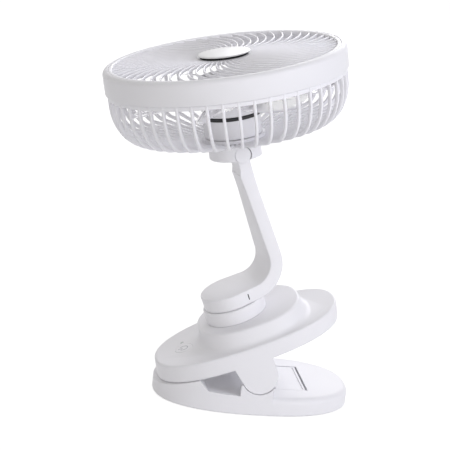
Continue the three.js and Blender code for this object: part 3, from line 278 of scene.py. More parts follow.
class StageSizes(bpy.types.PropertyGroup):
    """Camera and lamps"""

    azimuth: angle("Azimuth", "Camera round the object", -10.28)
    elevation: angle("Elevation", "Camera above the table", 16.23)
    roll: angle("Roll", "Camera turned about its own line of sight", 6.52)
    reach: distance("Reach", "Camera to the point that it looks at", 1198.6)
    target_x: distance("Target X", "Point that the camera looks at", -32)
    target_z: distance("Target Z", "Point that the camera looks at", 128.43)
    lens: share("Lens", "Focal length in millimetres on a 36 mm sensor", 133.8)
    key: share("Key lamp", "Power of the large lamp at the right, in watts", 9.6)
    front: share("Front lamp", "Power of the lamp in front, in watts", 3.0)
    back: share("Back lamp", "Power of the lamp behind, in watts", 9.6)
    tent: share("Tent", "Strength of the light from the tent's walls in front and behind", 1.34)


SETTINGS = {
    "fan_lower_jaw": LowerJawSizes,
    "fan_hook": HookSizes,
    "fan_upper_jaw": UpperJawSizes,
    "fan_arm": ArmSizes,
    "fan_head": HeadSizes,
    "fan_motor": MotorSizes,
    "fan_colours": Colours,
    "fan_stage": StageSizes,
}


# Meshes


def mesh_object(name, points, faces=(), edges=()):
    mesh = bpy.data.meshes.new(name)
    mesh.from_pydata([tuple(point) for point in points], edges, faces)
    mesh.validate()
    made = bpy.data.objects.new(name, mesh)
    bpy.context.scene.collection.objects.link(made)
    return made


def line_object(name, points):
    """A line through the points, for a tree of geometry nodes to work on."""
    return mesh_object(name, points, edges=[(i, i + 1) for i in range(len(points) - 1)])


def skin(name, rings, closed=False):
    """A closed surface through rings of equal length; the two ends are capped, or joined if closed."""
    sides = len(rings[0])
    points = [point for ring in rings for point in ring]
    faces = []
    last = len(rings) if closed else len(rings) - 1
    for row in range(last):
        low = row * sides
        high = ((row + 1) % len(rings)) * sides
        for i in range(sides):
            j = (i + 1) % sides
            faces.append((low + i, low + j, high + j, high + i))
    if not closed:
        faces.append(tuple(reversed(range(sides))))
        faces.append(tuple(range((len(rings) - 1) * sides, len(rings) * sides)))
    return mesh_object(name, points, faces)


def spread(ratio, squareness):
    """A cosine or sine, drawn out towards the corners of a squarer oval."""
    return math.copysign(abs(ratio) ** (2 / squareness), ratio)


def oval(name, outline, levels):
    """A rounded oval body through levels of (distance in from the outline, height)."""
    rings = []
    for inset, z in levels:
        centre = outline["centre"] - outline["lean"] * (outline["level"] - z)
        ring = []
        for i in range(JAW_SIDES):
            turn = 2 * math.pi * i / JAW_SIDES
            along = (outline["length"] / 2 - inset) * spread(math.cos(turn), outline["squareness"])
            across = (outline["width"] / 2 - inset) * spread(math.sin(turn), outline["squareness"])
            across *= 1 + outline["taper"] * along * 2 / outline["length"]
            ring.append((centre + along, across, z))
        rings.append(ring)
    return skin(name, rings)


def turned(name, profile, sides=ROUND_SIDES, closed=False):
    """A profile of (radius, height) turned about Z; its ends are capped, or joined if closed."""
    turns = [2 * math.pi * i / sides for i in range(sides)]
    rings = [[(r * math.cos(turn), r * math.sin(turn), z) for turn in turns] for r, z in profile]
    return skin(name, rings, closed)


def shoulder(radius, end, steps=7, lower=False):
    """Levels of a rounded top edge that ends at a height, or of a rounded lower edge that starts there."""
    levels = []
    for i in range(steps + 1):
        turn = math.pi / 2 * i / steps
        rising = radius * (1 - math.cos(turn))
        falling = radius * (1 - math.sin(turn))
        levels.append((falling, end + rising) if lower else (rising, end - falling))
    return levels


def round_over(outer, radius, end, steps=7, lower=False):
    """The same edge as points of a profile, in from its outer radius."""
    return [(outer - inset, z) for inset, z in shoulder(radius, end, steps, lower)]


def beside(r, z, *offsets):
    """Points of a profile, or levels, by their offsets from (r, z) in millimetres."""
    return [(r + across * MM, z + up * MM) for across, up in offsets]


def arc(x, z, radius, start, end, steps):
    turns = [start + (end - start) * i / steps for i in range(steps + 1)]
    return [(x + radius * math.cos(turn), z + radius * math.sin(turn)) for turn in turns]


def block(name, low, high):
    """A block between two corners."""
    rings = [
        [(low[0], low[1], z), (high[0], low[1], z), (high[0], high[1], z), (low[0], high[1], z)]
        for z in (low[2], high[2])
    ]
    return skin(name, rings)


def slab(name, outline, y0, y1):
    """An outline drawn in X and Z, anticlockwise from the front, spread along Y."""
    return skin(name, [[(x, y, z) for x, z in outline] for y in (y1, y0)])


def column(name, radius, z0, z1, x, y, sides=SMALL_SIDES):
    """A cylinder along Z."""
    made = turned(name, [(radius, z0), (radius, z1)], sides)
    made.data.transform(Matrix.Translation((x, y, 0)))
    return made


def rod(name, radius, y0, y1, x=0.0, z=0.0):
    """A cylinder along Y."""
    made = turned(name, [(radius, -y1), (radius, -y0)])
    made.data.transform(Matrix.Translation((x, 0, z)) @ Matrix.Rotation(math.pi / 2, 4, "X"))
    return made


def bake(made):
    """Puts the result of the object's modifiers into its mesh and takes them off."""
    graph = bpy.context.evaluated_depsgraph_get()
    graph.update()
    result = bpy.data.meshes.new_from_object(made.evaluated_get(graph))
    made.modifiers.clear()
    before = made.data
    made.data = result
    bpy.data.meshes.remove(before)
    return made


def combine(made, tools, operation):
    for tool in tools:
        step = made.modifiers.new("combine", "BOOLEAN")
        step.operation = operation
        step.solver = "MANIFOLD"
        step.object = tool
        bake(made)
        bpy.data.objects.remove(tool)
    if not made.data.polygons:
        raise RuntimeError(f"{made.name} is empty after {operation}")
    return made


def cut(made, *tools):
    return combine(made, tools, "DIFFERENCE")


def join(made, *tools):
    return combine(made, tools, "UNION")


def overlap(made, *tools):
    return combine(made, tools, "INTERSECT")


def show(made, name, place, body, look, nodes=(), crease=32):
    """Puts a piece made in a local frame in its place, gives it its body and finish, and hides the nodes it
    replaces.

    The look is a function of the finishes below.
    """
    made.name = name
    made.data.name = name
    made.data.transform(place)
    made.data.materials.clear()
    made.data.materials.append(look())
    made.data.shade_smooth()
    made.data.set_sharp_from_angle(angle=math.radians(crease))
    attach(made, body)
    if nodes:
        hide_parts(*nodes)


# Nodes, for finishes and for trees of geometry nodes


def feed(tree, made, inputs):
    """Gives a node's inputs their constants, or links them to the outputs that feed them."""
    for name, value in inputs.items():
        if isinstance(value, bpy.types.NodeSocket):
            tree.links.new(value, made.inputs[name])
        else:
            made.inputs[name].default_value = value


def node(tree, kind, inputs=None, **settings):
    """Adds a node with its settings and inputs, and gives back its outputs."""
    made = tree.nodes.new(kind)
    for name, value in settings.items():
        setattr(made, name, value)
    feed(tree, made, inputs or {})
    return made.outputs


def maths(tree, operation, *values):
    """The result of a maths node on numbers or outputs."""
    return node(tree, "ShaderNodeMath", dict(enumerate(values)), operation=operation)["Value"]


def sockets(tree, way, kinds):
    for name, kind in kinds.items():
        tree.interface.new_socket(name, in_out=way, socket_type=f"NodeSocket{kind}")


# Finishes


def surface_group():
    """Colour, roughness and relief of a moulded or worked surface, from two noises in object space."""
    found = bpy.data.node_groups.get("Worked surface")
    if found:
        return found
    tree = bpy.data.node_groups.new("Worked surface", "ShaderNodeTree")
    sockets(tree, "INPUT", {
        "Colour": "Color", "Shade": "Color", "Cloud scale": "Float", "Cloud share": "Float",
        "Grain scale": "Float", "Roughness": "Float", "Roughness spread": "Float", "Stretch": "Vector",
    })
    sockets(tree, "OUTPUT", {"Colour": "Color", "Roughness": "Float", "Height": "Float"})
    given = node(tree, "NodeGroupInput")
    place = node(tree, "ShaderNodeTexCoord")["Object"]
    scaled = {0: place, 1: given["Stretch"]}
    stretched = node(tree, "ShaderNodeVectorMath", scaled, operation="MULTIPLY")["Vector"]
    clouds = {"Vector": stretched, "Scale": given["Cloud scale"], "Detail": 3.0}
    cloud = node(tree, "ShaderNodeTexNoise", clouds)["Fac"]
    grains = {"Vector": stretched, "Scale": given["Grain scale"], "Detail": 4.0, "Roughness": 0.6}
    grain = node(tree, "ShaderNodeTexNoise", grains)["Fac"]
    weight = maths(tree, "MULTIPLY", cloud, given["Cloud share"])
    colours = {"Factor": weight, "A": given["Colour"], "B": given["Shade"]}
    colour = node(tree, "ShaderNodeMix", colours, data_type="RGBA")["Result"]
    centred = maths(tree, "SUBTRACT", cloud, 0.5)
    roughness = maths(tree, "MULTIPLY_ADD", centred, given["Roughness spread"], given["Roughness"])
    node(tree, "NodeGroupOutput", {"Colour": colour, "Roughness": roughness, "Height": grain})
    return tree


def finish(name, base, shade, roughness, uneven=0.08, cloud=35.0, cloud_share=0.35, grain=1400.0,
           relief=0.012, stretch=(1, 1, 1), edge=0.35, metallic=0.0, specular=0.5, coat=0.0, clear=0.0):
    """A material whose colour, gloss and relief come from the worked surface group; relief and edge in mm."""
    title = f"fan_{name}"
    found = bpy.data.materials.get(title)
    if found:
        return found
    material = bpy.data.materials.new(title)
    material.use_nodes = True
    tree = material.node_tree
    surface = node(tree, "ShaderNodeGroup", {
        "Colour": (*base, 1), "Shade": (*shade, 1), "Cloud scale": cloud, "Cloud share": cloud_share,
        "Grain scale": grain, "Roughness": roughness, "Roughness spread": uneven, "Stretch": stretch,
    }, node_tree=surface_group())
    bump = {"Strength": 1.0, "Distance": relief * MM, "Height": surface["Height"]}
    if edge:
        bump["Normal"] = node(tree, "ShaderNodeBevel", {"Radius": edge * MM}, samples=4)["Normal"]
    feed(tree, tree.nodes["Principled BSDF"], {
        "Base Color": surface["Colour"],
        "Roughness": surface["Roughness"],
        "Normal": node(tree, "ShaderNodeBump", bump)["Normal"],
        "Metallic": metallic,
        "Specular IOR Level": specular,
        "Coat Weight": coat,
        "Coat Roughness": 0.12,
        "Transmission Weight": clear,
        "IOR": 1.49,
    })
    return material


def shaded(base, factor):
    return tuple(channel * factor for channel in base)


def tinted(name, colour, factor, roughness, **more):
    """A finish in one of the colours that a user can change, with clouds of a darker shade of it."""
    base = getattr(bpy.context.scene.fan_colours, colour)
    return finish(name, base, shaded(base, factor), roughness, **more)


def white_plastic():
    return tinted("white_plastic", "white", 0.965, 0.42, specular=0.2)


def cage_plastic():
    return tinted("cage_plastic", "cage", 0.965, 0.34, specular=0.35, edge=0.0)


def silver_paint():
    return tinted("silver_paint", "silver", 0.94, 0.32, grain=2600, relief=0.006, metallic=0.35)


def grey_rubber():
    return tinted("grey_rubber", "rubber", 0.8, 0.78, grain=2200, relief=0.05, specular=0.35)


def printed_mark():
    return tinted("printed_mark", "mark", 0.9, 0.45, edge=0.0)


def clear_plastic():
    """Clear plastic that lets most of the light of lamps and of pale surfaces pass."""
    material = tinted("clear_plastic", "clear", 0.97, 0.06, uneven=0.04, cloud=20, relief=0.004,
                      edge=0.0, clear=0.7)
    tree = material.node_tree
    shader = tree.nodes["Principled BSDF"]
    if not shader.inputs["Alpha"].is_linked:
        path = node(tree, "ShaderNodeLightPath")
        light = maths(tree, "MAXIMUM", path["Is Shadow Ray"], path["Is Diffuse Ray"])
        feed(tree, shader, {"Alpha": maths(tree, "MULTIPLY_ADD", light, -LIGHT_PASSED, 1.0)})
    return material


def black_plastic():
    return finish("black_plastic", (0.018, 0.018, 0.02), (0.03, 0.03, 0.032), 0.5, grain=2600, relief=0.03)


# Near black: painted shadow under the centre plate, and the colour of the arm's index tick
def dark_recess():
    return finish("dark_recess", (0.012, 0.012, 0.013), (0.02, 0.02, 0.02), 0.75, specular=0.2)


def steel():
    return finish("steel", (0.62, 0.63, 0.64), (0.46, 0.47, 0.49), 0.3, uneven=0.2, cloud=220,
                  grain=900, relief=0.01, stretch=(1, 1, 12), metallic=1.0)


def board_mask():
    return finish("board_mask", (0.02, 0.12, 0.05), (0.035, 0.18, 0.08), 0.35, cloud=400, relief=0.02)


def cell_sleeve():
    return finish("cell_sleeve", (0.07, 0.15, 0.36), (0.05, 0.1, 0.26), 0.3, cloud=60, relief=0.02, coat=0.4)


def copper_winding():
    return finish("copper_winding", (0.55, 0.2, 0.08), (0.38, 0.12, 0.04), 0.28, grain=3000, relief=0.08,
                  stretch=(1, 1, 6), metallic=1.0)


def lamp_lens():
    return finish("lamp_lens", (0.85, 0.9, 0.86), (0.78, 0.84, 0.8), 0.2, relief=0.01, edge=0.0, clear=0.3)


# Repeats: trees of geometry nodes


def new_tree(name, inputs):
    """A tree with a Geometry input, those inputs and a Geometry output, and what its inputs give."""
    tree = bpy.data.node_groups.new(name, "GeometryNodeTree")
    sockets(tree, "INPUT", {"Geometry": "Geometry", **inputs})
    sockets(tree, "OUTPUT", {"Geometry": "Geometry"})
    return tree, node(tree, "NodeGroupInput")


def ended(tree, given, copies):
    """Makes the copies real, gives them the material and puts them out."""
    real = node(tree, "GeometryNodeRealizeInstances", {"Geometry": copies})["Geometry"]
    paint = {"Geometry": real, "Material": given["Material"]}
    painted = node(tree, "GeometryNodeSetMaterial", paint)["Geometry"]
    node(tree, "NodeGroupOutput", {"Geometry": painted})
    return tree


def round_axis(tree, given, geometry):
    """Copies of the geometry at even turns round Z."""
    line = node(tree, "GeometryNodeMeshLine", {"Count": given["Count"], "Offset": (0, 0, 0)})["Mesh"]
    index = node(tree, "GeometryNodeInputIndex")["Index"]
    step = maths(tree, "DIVIDE", 2 * math.pi, given["Count"])
    turn = maths(tree, "MULTIPLY_ADD", index, step, given["First angle"])
    vector = node(tree, "ShaderNodeCombineXYZ", {"Z": turn})["Vector"]
    rotation = node(tree, "FunctionNodeEulerToRotation", {"Euler": vector})["Rotation"]
    copies = {"Points": line, "Instance": geometry, "Rotation": rotation}
    return node(tree, "GeometryNodeInstanceOnPoints", copies)["Instances"]


def copies_tree():
    """Copies of the input mesh round Z."""
    found = bpy.data.node_groups.get("Circle of copies")
    if found:
        return found
    kinds = {"Count": "Int", "First angle": "Float", "Material": "Material"}
    tree, given = new_tree("Circle of copies", kinds)
    return ended(tree, given, round_axis(tree, given, given["Geometry"]))


def ribs_tree():
    """Ribs of rounded section along the input line, set round Z."""
    found = bpy.data.node_groups.get("Ring of ribs")
    if found:
        return found
    tree, given = new_tree("Ring of ribs", {
        "Side": "Float", "Depth": "Float", "Corner": "Float",
        "Count": "Int", "First angle": "Float", "Material": "Material",
    })
    path = node(tree, "GeometryNodeMeshToCurve", {"Mesh": given["Geometry"]})["Curve"]
    size = {"Width": given["Side"], "Height": given["Depth"]}
    section = node(tree, "GeometryNodeCurvePrimitiveQuadrilateral", size)["Curve"]
    corner = {"Curve": section, "Count": 3, "Radius": given["Corner"]}
    rounded = node(tree, "GeometryNodeFilletCurve", corner, mode="POLY")["Curve"]
    sweep = {"Curve": path, "Profile Curve": rounded, "Fill Caps": True}
    rib = node(tree, "GeometryNodeCurveToMesh", sweep)["Mesh"]
    return ended(tree, given, round_axis(tree, given, rib))


def points_tree():
    """Copies of an object on the points of the input mesh."""
    found = bpy.data.node_groups.get("Copies on points")
    if found:
        return found
    tree, given = new_tree("Copies on points", {"Piece": "Object", "Material": "Material"})
    piece = node(tree, "GeometryNodeObjectInfo", {"Object": given["Piece"]})["Geometry"]
    copies = {"Points": given["Geometry"], "Instance": piece}
    return ended(tree, given, node(tree, "GeometryNodeInstanceOnPoints", copies)["Instances"])


def run_tree(made, tree, values):
    """Runs a tree on the object with the named inputs and keeps the result as its mesh."""
    step = made.modifiers.new(tree.name, "NODES")
    step.node_group = tree
    for item in tree.interface.items_tree:
        if item.item_type == "SOCKET" and item.in_out == "INPUT" and item.name in values:
            step[item.identifier] = values[item.name]
    return bake(made)


def ribs(name, points, side, depth, corner, look, number=1, first=0.0):
    """Ribs along a line of points, set round Z."""
    return run_tree(line_object(name, points), ribs_tree(), {
        "Side": side, "Depth": depth, "Corner": corner,
        "Count": number, "First angle": first, "Material": look(),
    })


# What the pieces of the clip share


def oval_outline(length, width, taper=0.0, centre=0.0, lean=0.0, level=0.0):
    """An oval outline that moves forward by its lean for each unit below its level."""
    squareness = bpy.context.scene.fan_lower_jaw.squareness
    return {"length": length, "width": width, "squareness": squareness,
            "taper": taper, "centre": centre, "lean": lean, "level": level}


def lower_outline():
    jaw = bpy.context.scene.fan_lower_jaw
    return oval_outline(jaw.length, jaw.width, jaw.taper)


def upper_outline():
    jaw = bpy.context.scene.fan_upper_jaw
    return oval_outline(jaw.length, jaw.width, jaw.taper, jaw.centre, jaw.lean, plate_top())


def housing_outline():
    jaw = bpy.context.scene.fan_upper_jaw
    return oval_outline(jaw.housing_length, jaw.housing_width, centre=jaw.housing_centre)


def plate_top():
    jaw = bpy.context.scene.fan_upper_jaw
    return jaw.underside + jaw.thickness


def housing_top():
    return plate_top() + bpy.context.scene.fan_upper_jaw.housing_height


def foot_bottom():
    return housing_top() + 2 * SEAT_GAP + bpy.context.scene.fan_upper_jaw.collar_height


def lower_pad_top():
    return bpy.context.scene.fan_upper_jaw.underside - MOUTH_GAP


def between_cheeks(upper):
    """Half of the room between the upper jaw's cheeks, less the gap there."""
    return upper.width / 2 - CHEEK - SEAT_GAP


def underside_at(x):
    """Height of the closed upper jaw's underside above the table."""
    jaw = bpy.context.scene.fan_upper_jaw
    return HINGE.z + (x - HINGE.x) * math.tan(JAW_TILT) + jaw.underside / math.cos(JAW_TILT)


def above_mouth():
    """Everything over a plane that lies just below the upper jaw's closed underside."""
    reach = bpy.context.scene.fan_upper_jaw.length
    made = block("above_mouth", (-reach, -reach / 2, lower_pad_top()), (0, reach / 2, reach))
    made.data.transform(JAW)
    return made


def pad_body(name, wider, z0, z1):
    """A grip pad, or its wider pocket, in the upper jaw's frame."""
    jaw = bpy.context.scene.fan_lower_jaw
    reach = jaw.length
    made = oval(name, upper_outline(), [(jaw.pad_inset - wider, z0), (jaw.pad_inset - wider, z1)])
    return overlap(made, block("end", (-reach, -reach, z0 - MM), (jaw.pad_end + wider, reach, z1 + MM)))


def groove_pad(pad, z0, z1):
    """Cuts the cross grooves of a grip pad between two heights."""
    jaw = bpy.context.scene.fan_lower_jaw
    for i in range(GROOVES):
        x = jaw.pad_end - FIRST_GROOVE - GROOVE_PITCH * i
        cut(pad, block("groove", (x, -jaw.width, z0), (x + GROOVE_WIDTH, jaw.width, z1)))


def screw_seats(cover, name, place, low):
    """Cuts round seats for the heads of four screws in a cover's underside."""
    back = place.inverted()
    for i in range(1, 5):
        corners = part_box(f"{name}_{i}")
        spot = back @ ((corners[0] + corners[1]) / 2)
        cut(cover, column("seat", SCREW_SEAT_RADIUS, low - MM, low + SCREW_SEAT_DEPTH, spot.x, spot.y))


class Maker:
    """What the operators share: each one's make builds its pieces."""

    bl_options = {"REGISTER", "UNDO"}

    def execute(self, context):
        self.make(context.scene)
        return {"FINISHED"}


# Lower jaw


def lower_wall(inset, z0, z1):
    return oval("wall", lower_outline(), [(inset, z0), (inset, z1)])


def lower_skin(jaw):
    levels = [(jaw.chamfer, jaw.rim), (0, jaw.rim + jaw.chamfer)]
    levels += shoulder(jaw.crown, jaw.height) + [(jaw.crown + MM, jaw.height)]
    return oval("lower_shell", lower_outline(), levels)


def lip(jaw):
    """The raised lip, its slope and the low side walls of the throat, still solid."""
    front = -jaw.length
    low = jaw.rim + jaw.chamfer
    behind = jaw.saddle_front + MM
    profile = [
        (front, low + MM),
        (behind, low + MM),
        (behind, jaw.height + jaw.sill),
        (jaw.lip_end + jaw.lip_slope, jaw.height + jaw.sill + MM),
        (jaw.lip_end, underside_at(jaw.lip_end)),
        (front, underside_at(jaw.lip_end)),
    ]
    return overlap(lower_wall(0, low, HINGE.z), slab("side", profile, -jaw.width, jaw.width))


def saddle(jaw, upper):
    """The raised sides at the hinge, with a round hollow for the upper jaw's cheeks."""
    inner = between_cheeks(upper)
    far = jaw.width
    made = lower_wall(0, jaw.height - jaw.crown, jaw.saddle_height)
    made = overlap(made, block("span", (jaw.saddle_front, -far, 0), (jaw.saddle_rear, far, HINGE.z)))
    core = block("core", (-far, -inner, -MM), (far, inner, HINGE.z))
    bite = rod("bite", upper.cheek_radius + RUN_GAP, -far, far, HINGE.x, HINGE.z)
    return cut(made, core, bite)


def ear(jaw, upper, side):
    outer = between_cheeks(upper)
    base = jaw.height - WALL
    profile = [(HINGE.x - jaw.ear_radius, base), (HINGE.x + jaw.ear_radius, base)]
    profile += arc(HINGE.x, HINGE.z, jaw.ear_radius, 0, math.pi, 32)
    low, high = sorted((side * (outer - CHEEK), side * outer))
    return slab("ear", profile, low, high)


class FAN_OT_lower_shell(Maker, bpy.types.Operator):
    """Shell of the lower jaw with its lip, throat, saddle and hook tray"""

    bl_idname = "clip_fan.lower_shell"
    bl_label = "Lower shell"

    throat_wall = 5.5 * MM
    cover_room = 3.6 * MM
    tray_gap = 0.7 * MM

    def make(self, scene):
        jaw = scene.fan_lower_jaw
        upper = scene.fan_upper_jaw
        made = join(lower_skin(jaw), lip(jaw))
        half = jaw.width / 2 - self.throat_wall
        slope_end = jaw.lip_end + jaw.lip_slope
        floor = block("floor", (slope_end, -half, jaw.height), (jaw.saddle_front + 2 * MM, half, HINGE.z))
        cut(made, floor, above_mouth())
        join(made, saddle(jaw, upper), ear(jaw, upper, -1), ear(jaw, upper, 1))
        top = lower_pad_top()
        pocket = pad_body("pocket", SEAT_GAP, top - jaw.pad_depth - SEAT_GAP, top + MM)
        pocket.data.transform(JAW)
        cut(made, lower_wall(WALL, -MM, self.cover_room), pocket, self.tray(jaw, scene.fan_hook))
        show(made, "lower_jaw_shell", CLIP, "lower_jaw", white_plastic, ["lower_shell"])

    def tray(self, jaw, hook):
        """Room for the hook's leaf, with gaps at its free edge and its sides."""
        half = hook.thickness / 2
        middle = jaw.height - SEAT_GAP - half
        wide = hook.width / 2 + hook.side_gap
        return block(
            "tray",
            (hook.hinge - half - hook.side_gap, -wide, middle - half - self.tray_gap),
            (hook.tip + hook.gap, wide, jaw.height + MM),
        )


class FAN_OT_lower_trim(Maker, bpy.types.Operator):
    """Cover, rubber foot and grip pad of the lower jaw"""

    bl_idname = "clip_fan.lower_trim"
    bl_label = "Lower cover, foot and pad"

    foot_inset = 8 * MM

    def make(self, scene):
        low, high = (corner.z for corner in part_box("lower_base"))
        inset = WALL + SEAT_GAP
        cover = oval("cover", lower_outline(), beside(inset, low, (0.4, 0), (0, 0.4)) + [(inset, high)])
        screw_seats(cover, "base_screw", CLIP, low)
        show(cover, "lower_cover", CLIP, "lower_jaw", white_plastic, ["lower_base"])
        levels = beside(self.foot_inset, 0, (0.5, 0), (0.15, 0.15), (0, 0.5))
        levels += [(self.foot_inset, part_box("rubber_foot")[1].z)]
        foot = oval("foot", lower_outline(), levels)
        show(foot, "foot_pad", CLIP, "lower_jaw", grey_rubber, ["rubber_foot"])
        top = lower_pad_top()
        pad = pad_body("pad", 0, top - scene.fan_lower_jaw.pad_depth, top)
        groove_pad(pad, top - GROOVE_DEPTH, top + MM)
        show(pad, "lower_pad", JAW, "lower_jaw", grey_rubber, ["lower_grip_pad"])


class FAN_OT_hook(Maker, bpy.types.Operator):
    """Fold-out hanging hook in the lower jaw"""

    bl_idname = "clip_fan.hook"
    bl_label = "Hanging hook"

    edge = 0.3 * MM
    groove_start = 2.6 * MM
    groove_end = 1.8 * MM
    groove_depth = 0.5 * MM
    groove_margin = 1.5 * MM

    def make(self, scene):
        hook = scene.fan_hook
        half = hook.thickness / 2
        middle = scene.fan_lower_jaw.height - SEAT_GAP - half
        low = middle - half
        high = middle + half
        profile = [(hook.hinge, low), (hook.tip - self.edge, low), (hook.tip, low + self.edge)]
        profile += [(hook.tip, high - self.edge), (hook.tip - self.edge, high)]
        profile += arc(hook.hinge, middle, half, math.pi / 2, math.pi * 1.5, 16)[:-1]
        leaf = slab("leaf", profile, -hook.width / 2, hook.width / 2)
        wide = hook.width / 2 - self.groove_margin
        start = (hook.tip - self.groove_start, -wide, high - self.groove_depth)
        cut(leaf, block("groove", start, (hook.tip - self.groove_end, wide, high + MM)))
        show(leaf, "hook_leaf", CLIP, "hanging_hook", white_plastic, ["hanging_hook"])


def screw_body(radius, head_radius, head_height, length):
    """A self-tapping screw along +Z with its cross-recessed head at Z = 0."""
    profile = [
        (head_radius - 0.25 * MM, 0),
        (head_radius, 0.2 * MM),
        (head_radius, head_height * 0.45),
        (radius, head_height),
    ]
    turns = 5
    pitch = (length - head_height) / turns
    for i in range(turns):
        base = head_height + pitch * i
        profile += [(radius * 0.82, base + pitch * 0.25), (radius, base + pitch * 0.6)]
    profile += [(radius * 0.4, length)]
    made = turned("screw", profile, SMALL_SIDES)
    long, short = 1.2 * MM, 0.25 * MM
    for x, y in ((long, short), (short, long)):
        cut(made, block("slot", (-x, -y, -MM), (x, y, 0.8 * MM)))
    return made


class FAN_OT_screws(Maker, bpy.types.Operator):
    """Cross-recessed screws of both covers and of the motor"""

    bl_idname = "clip_fan.screws"
    bl_label = "Screws"

    def make(self, scene):
        self.group("base_screw", 4, CLIP, "lower_jaw", up=True)
        self.group("upper_screw", 4, JAW, "upper_jaw", up=True)
        self.group("motor_screw", 3, HEAD, "head", up=False)

    def group(self, name, number, place, body, up):
        """Screws in the places of the CAD nodes of that name; up says which way they point."""
        nodes = [f"{name}_{i}" for i in range(1, number + 1)]
        back = place.inverted()
        spots = []
        for title in nodes:
            corners = [back @ vertex.co for vertex in frame["nodes"][title].data.vertices]
            heights = [corner.z for corner in corners]
            x = (min(c.x for c in corners) + max(c.x for c in corners)) / 2
            y = (min(c.y for c in corners) + max(c.y for c in corners)) / 2
            spots.append((x, y, min(heights) if up else max(heights)))
        screw = screw_body(1.1 * MM, 2.2 * MM, 1.1 * MM, 7 * MM)
        if not up:
            screw.data.transform(Matrix.Rotation(math.pi, 4, "X"))
        made = line_object(name + "s", spots)
        run_tree(made, points_tree(), {"Piece": screw, "Material": steel()})
        bpy.data.objects.remove(screw)
        show(made, name + "s", place, body, steel, nodes)


class FAN_OT_spring(Maker, bpy.types.Operator):
    """Torsion spring on the hinge pin"""

    bl_idname = "clip_fan.spring"
    bl_label = "Torsion spring"

    turns = 7
    wire = 1.5 * MM
    pitch = 2.3 * MM
    pin = 2 * MM
    upper_leg = 9.2 * MM
    start = math.radians(30)
    short_of_whole = 2  # degrees

    def make(self, scene):
        radius = self.pin + SEAT_GAP + self.wire / 2
        total = math.radians(360 * self.turns - self.short_of_whole)
        steps = 24 * self.turns
        coil = []
        for i in range(steps + 1):
            turn = self.start + total * i / steps
            y = self.pitch * self.turns * (i / steps - 0.5)
            coil.append(Vector((HINGE.x + radius * math.cos(turn), y, HINGE.z + radius * math.sin(turn))))
        floor = scene.fan_lower_jaw.height + SEAT_GAP + self.wire
        drop = (coil[0].z - floor) / math.cos(self.start)
        low = coil[0] + self.heading(self.start - math.pi / 2) * drop
        high = coil[-1] + self.heading(self.start + total + math.pi / 2) * self.upper_leg
        made = ribs("spring", [low, *coil, high], self.wire, self.wire, self.wire * 0.499, steel)
        show(made, "hinge_spring", CLIP, "lower_jaw", steel, ["torsion_spring"], crease=60)

    def heading(self, turn):
        return Vector((math.cos(turn), 0, math.sin(turn)))


# Upper jaw


def upper_skin(jaw):
    levels = shoulder(jaw.foot, jaw.underside, steps=5, lower=True)
    levels += shoulder(jaw.edge, plate_top()) + [(jaw.edge + MM, plate_top())]
    return oval("upper_shell", upper_outline(), levels)


def housing_body(jaw):
    """The housing: a hollow round at its foot, a slight draught and a round top edge."""
    top = housing_top()
    steps = 14
    reach = jaw.housing_height - jaw.housing_edge
    close = 0.6 * jaw.flare
    wide = 0.42 * jaw.flare
    fade = 0.9 * MM
    levels = beside(-jaw.flare, plate_top(), (-0.4, -0.5))
    for i in range(steps + 1):
        rise = reach * (i / steps) ** 2
        inset = -close * math.exp(-rise / fade) - wide * (1 - rise / reach) ** 1.5
        levels.append((inset, plate_top() + rise))
    levels += shoulder(jaw.housing_edge, top)[1:] + [(jaw.housing_edge + MM, top)]
    return oval("housing", housing_outline(), levels)


def cheek_profile(jaw):
    """Side view of a cheek: round on the hinge, upright behind, flared in front."""
    radius = jaw.cheek_radius
    top = jaw.underside + WALL
    flare = jaw.cheek_flare
    rise = (top + radius * math.sin(flare)) / math.cos(flare)
    front = (-radius * math.cos(flare) - rise * math.sin(flare), top)
    return [(radius, top), front] + arc(0, 0, radius, math.pi + flare, 2 * math.pi, 40)


def cheeks(jaw):
    inner = jaw.width / 2 - CHEEK
    far = jaw.width
    levels = [(0, -jaw.cheek_radius - 2 * MM), (0, jaw.underside + WALL)]
    made = oval("cheeks", upper_outline(), levels)
    overlap(made, slab("profile", cheek_profile(jaw), -far, far))
    return cut(made, block("between", (-far, -inner, -far), (far, inner, far)))


class FAN_OT_upper_shell(Maker, bpy.types.Operator):
    """Plate, housing and cheeks of the upper jaw"""

    bl_idname = "clip_fan.upper_shell"
    bl_label = "Upper shell"

    button_gap = 0.25 * MM
    lamp_gap = 0.12 * MM
    port_half_width = 4.8 * MM
    port_half_height = 1.95 * MM

    def make(self, scene):
        jaw = scene.fan_upper_jaw
        made = join(upper_skin(jaw), housing_body(jaw))
        cut(made, oval("hollow", upper_outline(), [(WALL, jaw.underside - MM), (WALL, plate_top() - WALL)]))
        join(made, cheeks(jaw))
        button = self.hole(jaw, jaw.button_radius + self.button_gap, 0, ROUND_SIDES)
        lamp = self.hole(jaw, jaw.lamp_radius + self.lamp_gap, jaw.lamp_offset, SMALL_SIDES)
        cut(made, button, lamp, self.port_hole(jaw))
        show(made, "upper_jaw_shell", JAW, "upper_jaw", white_plastic, ["upper_shell"])

    def hole(self, jaw, radius, y, sides):
        """A round hole through the plate, in line with the power button."""
        return column("hole", radius, plate_top() - 3 * MM, plate_top() + MM, jaw.button_place, y, sides)

    def port_hole(self, jaw):
        """Rounded mouth of the charging port in the far side of the housing."""
        radius = self.port_half_height
        x = jaw.housing_centre
        z = plate_top() + jaw.housing_height * 0.55
        right = arc(x + self.port_half_width - radius, z, radius, -math.pi / 2, math.pi / 2, 12)
        left = arc(x - self.port_half_width + radius, z, radius, math.pi / 2, math.pi * 1.5, 12)
        side = jaw.housing_width / 2
        return slab("port_hole", right + left, side - 8 * MM, side + 8 * MM)


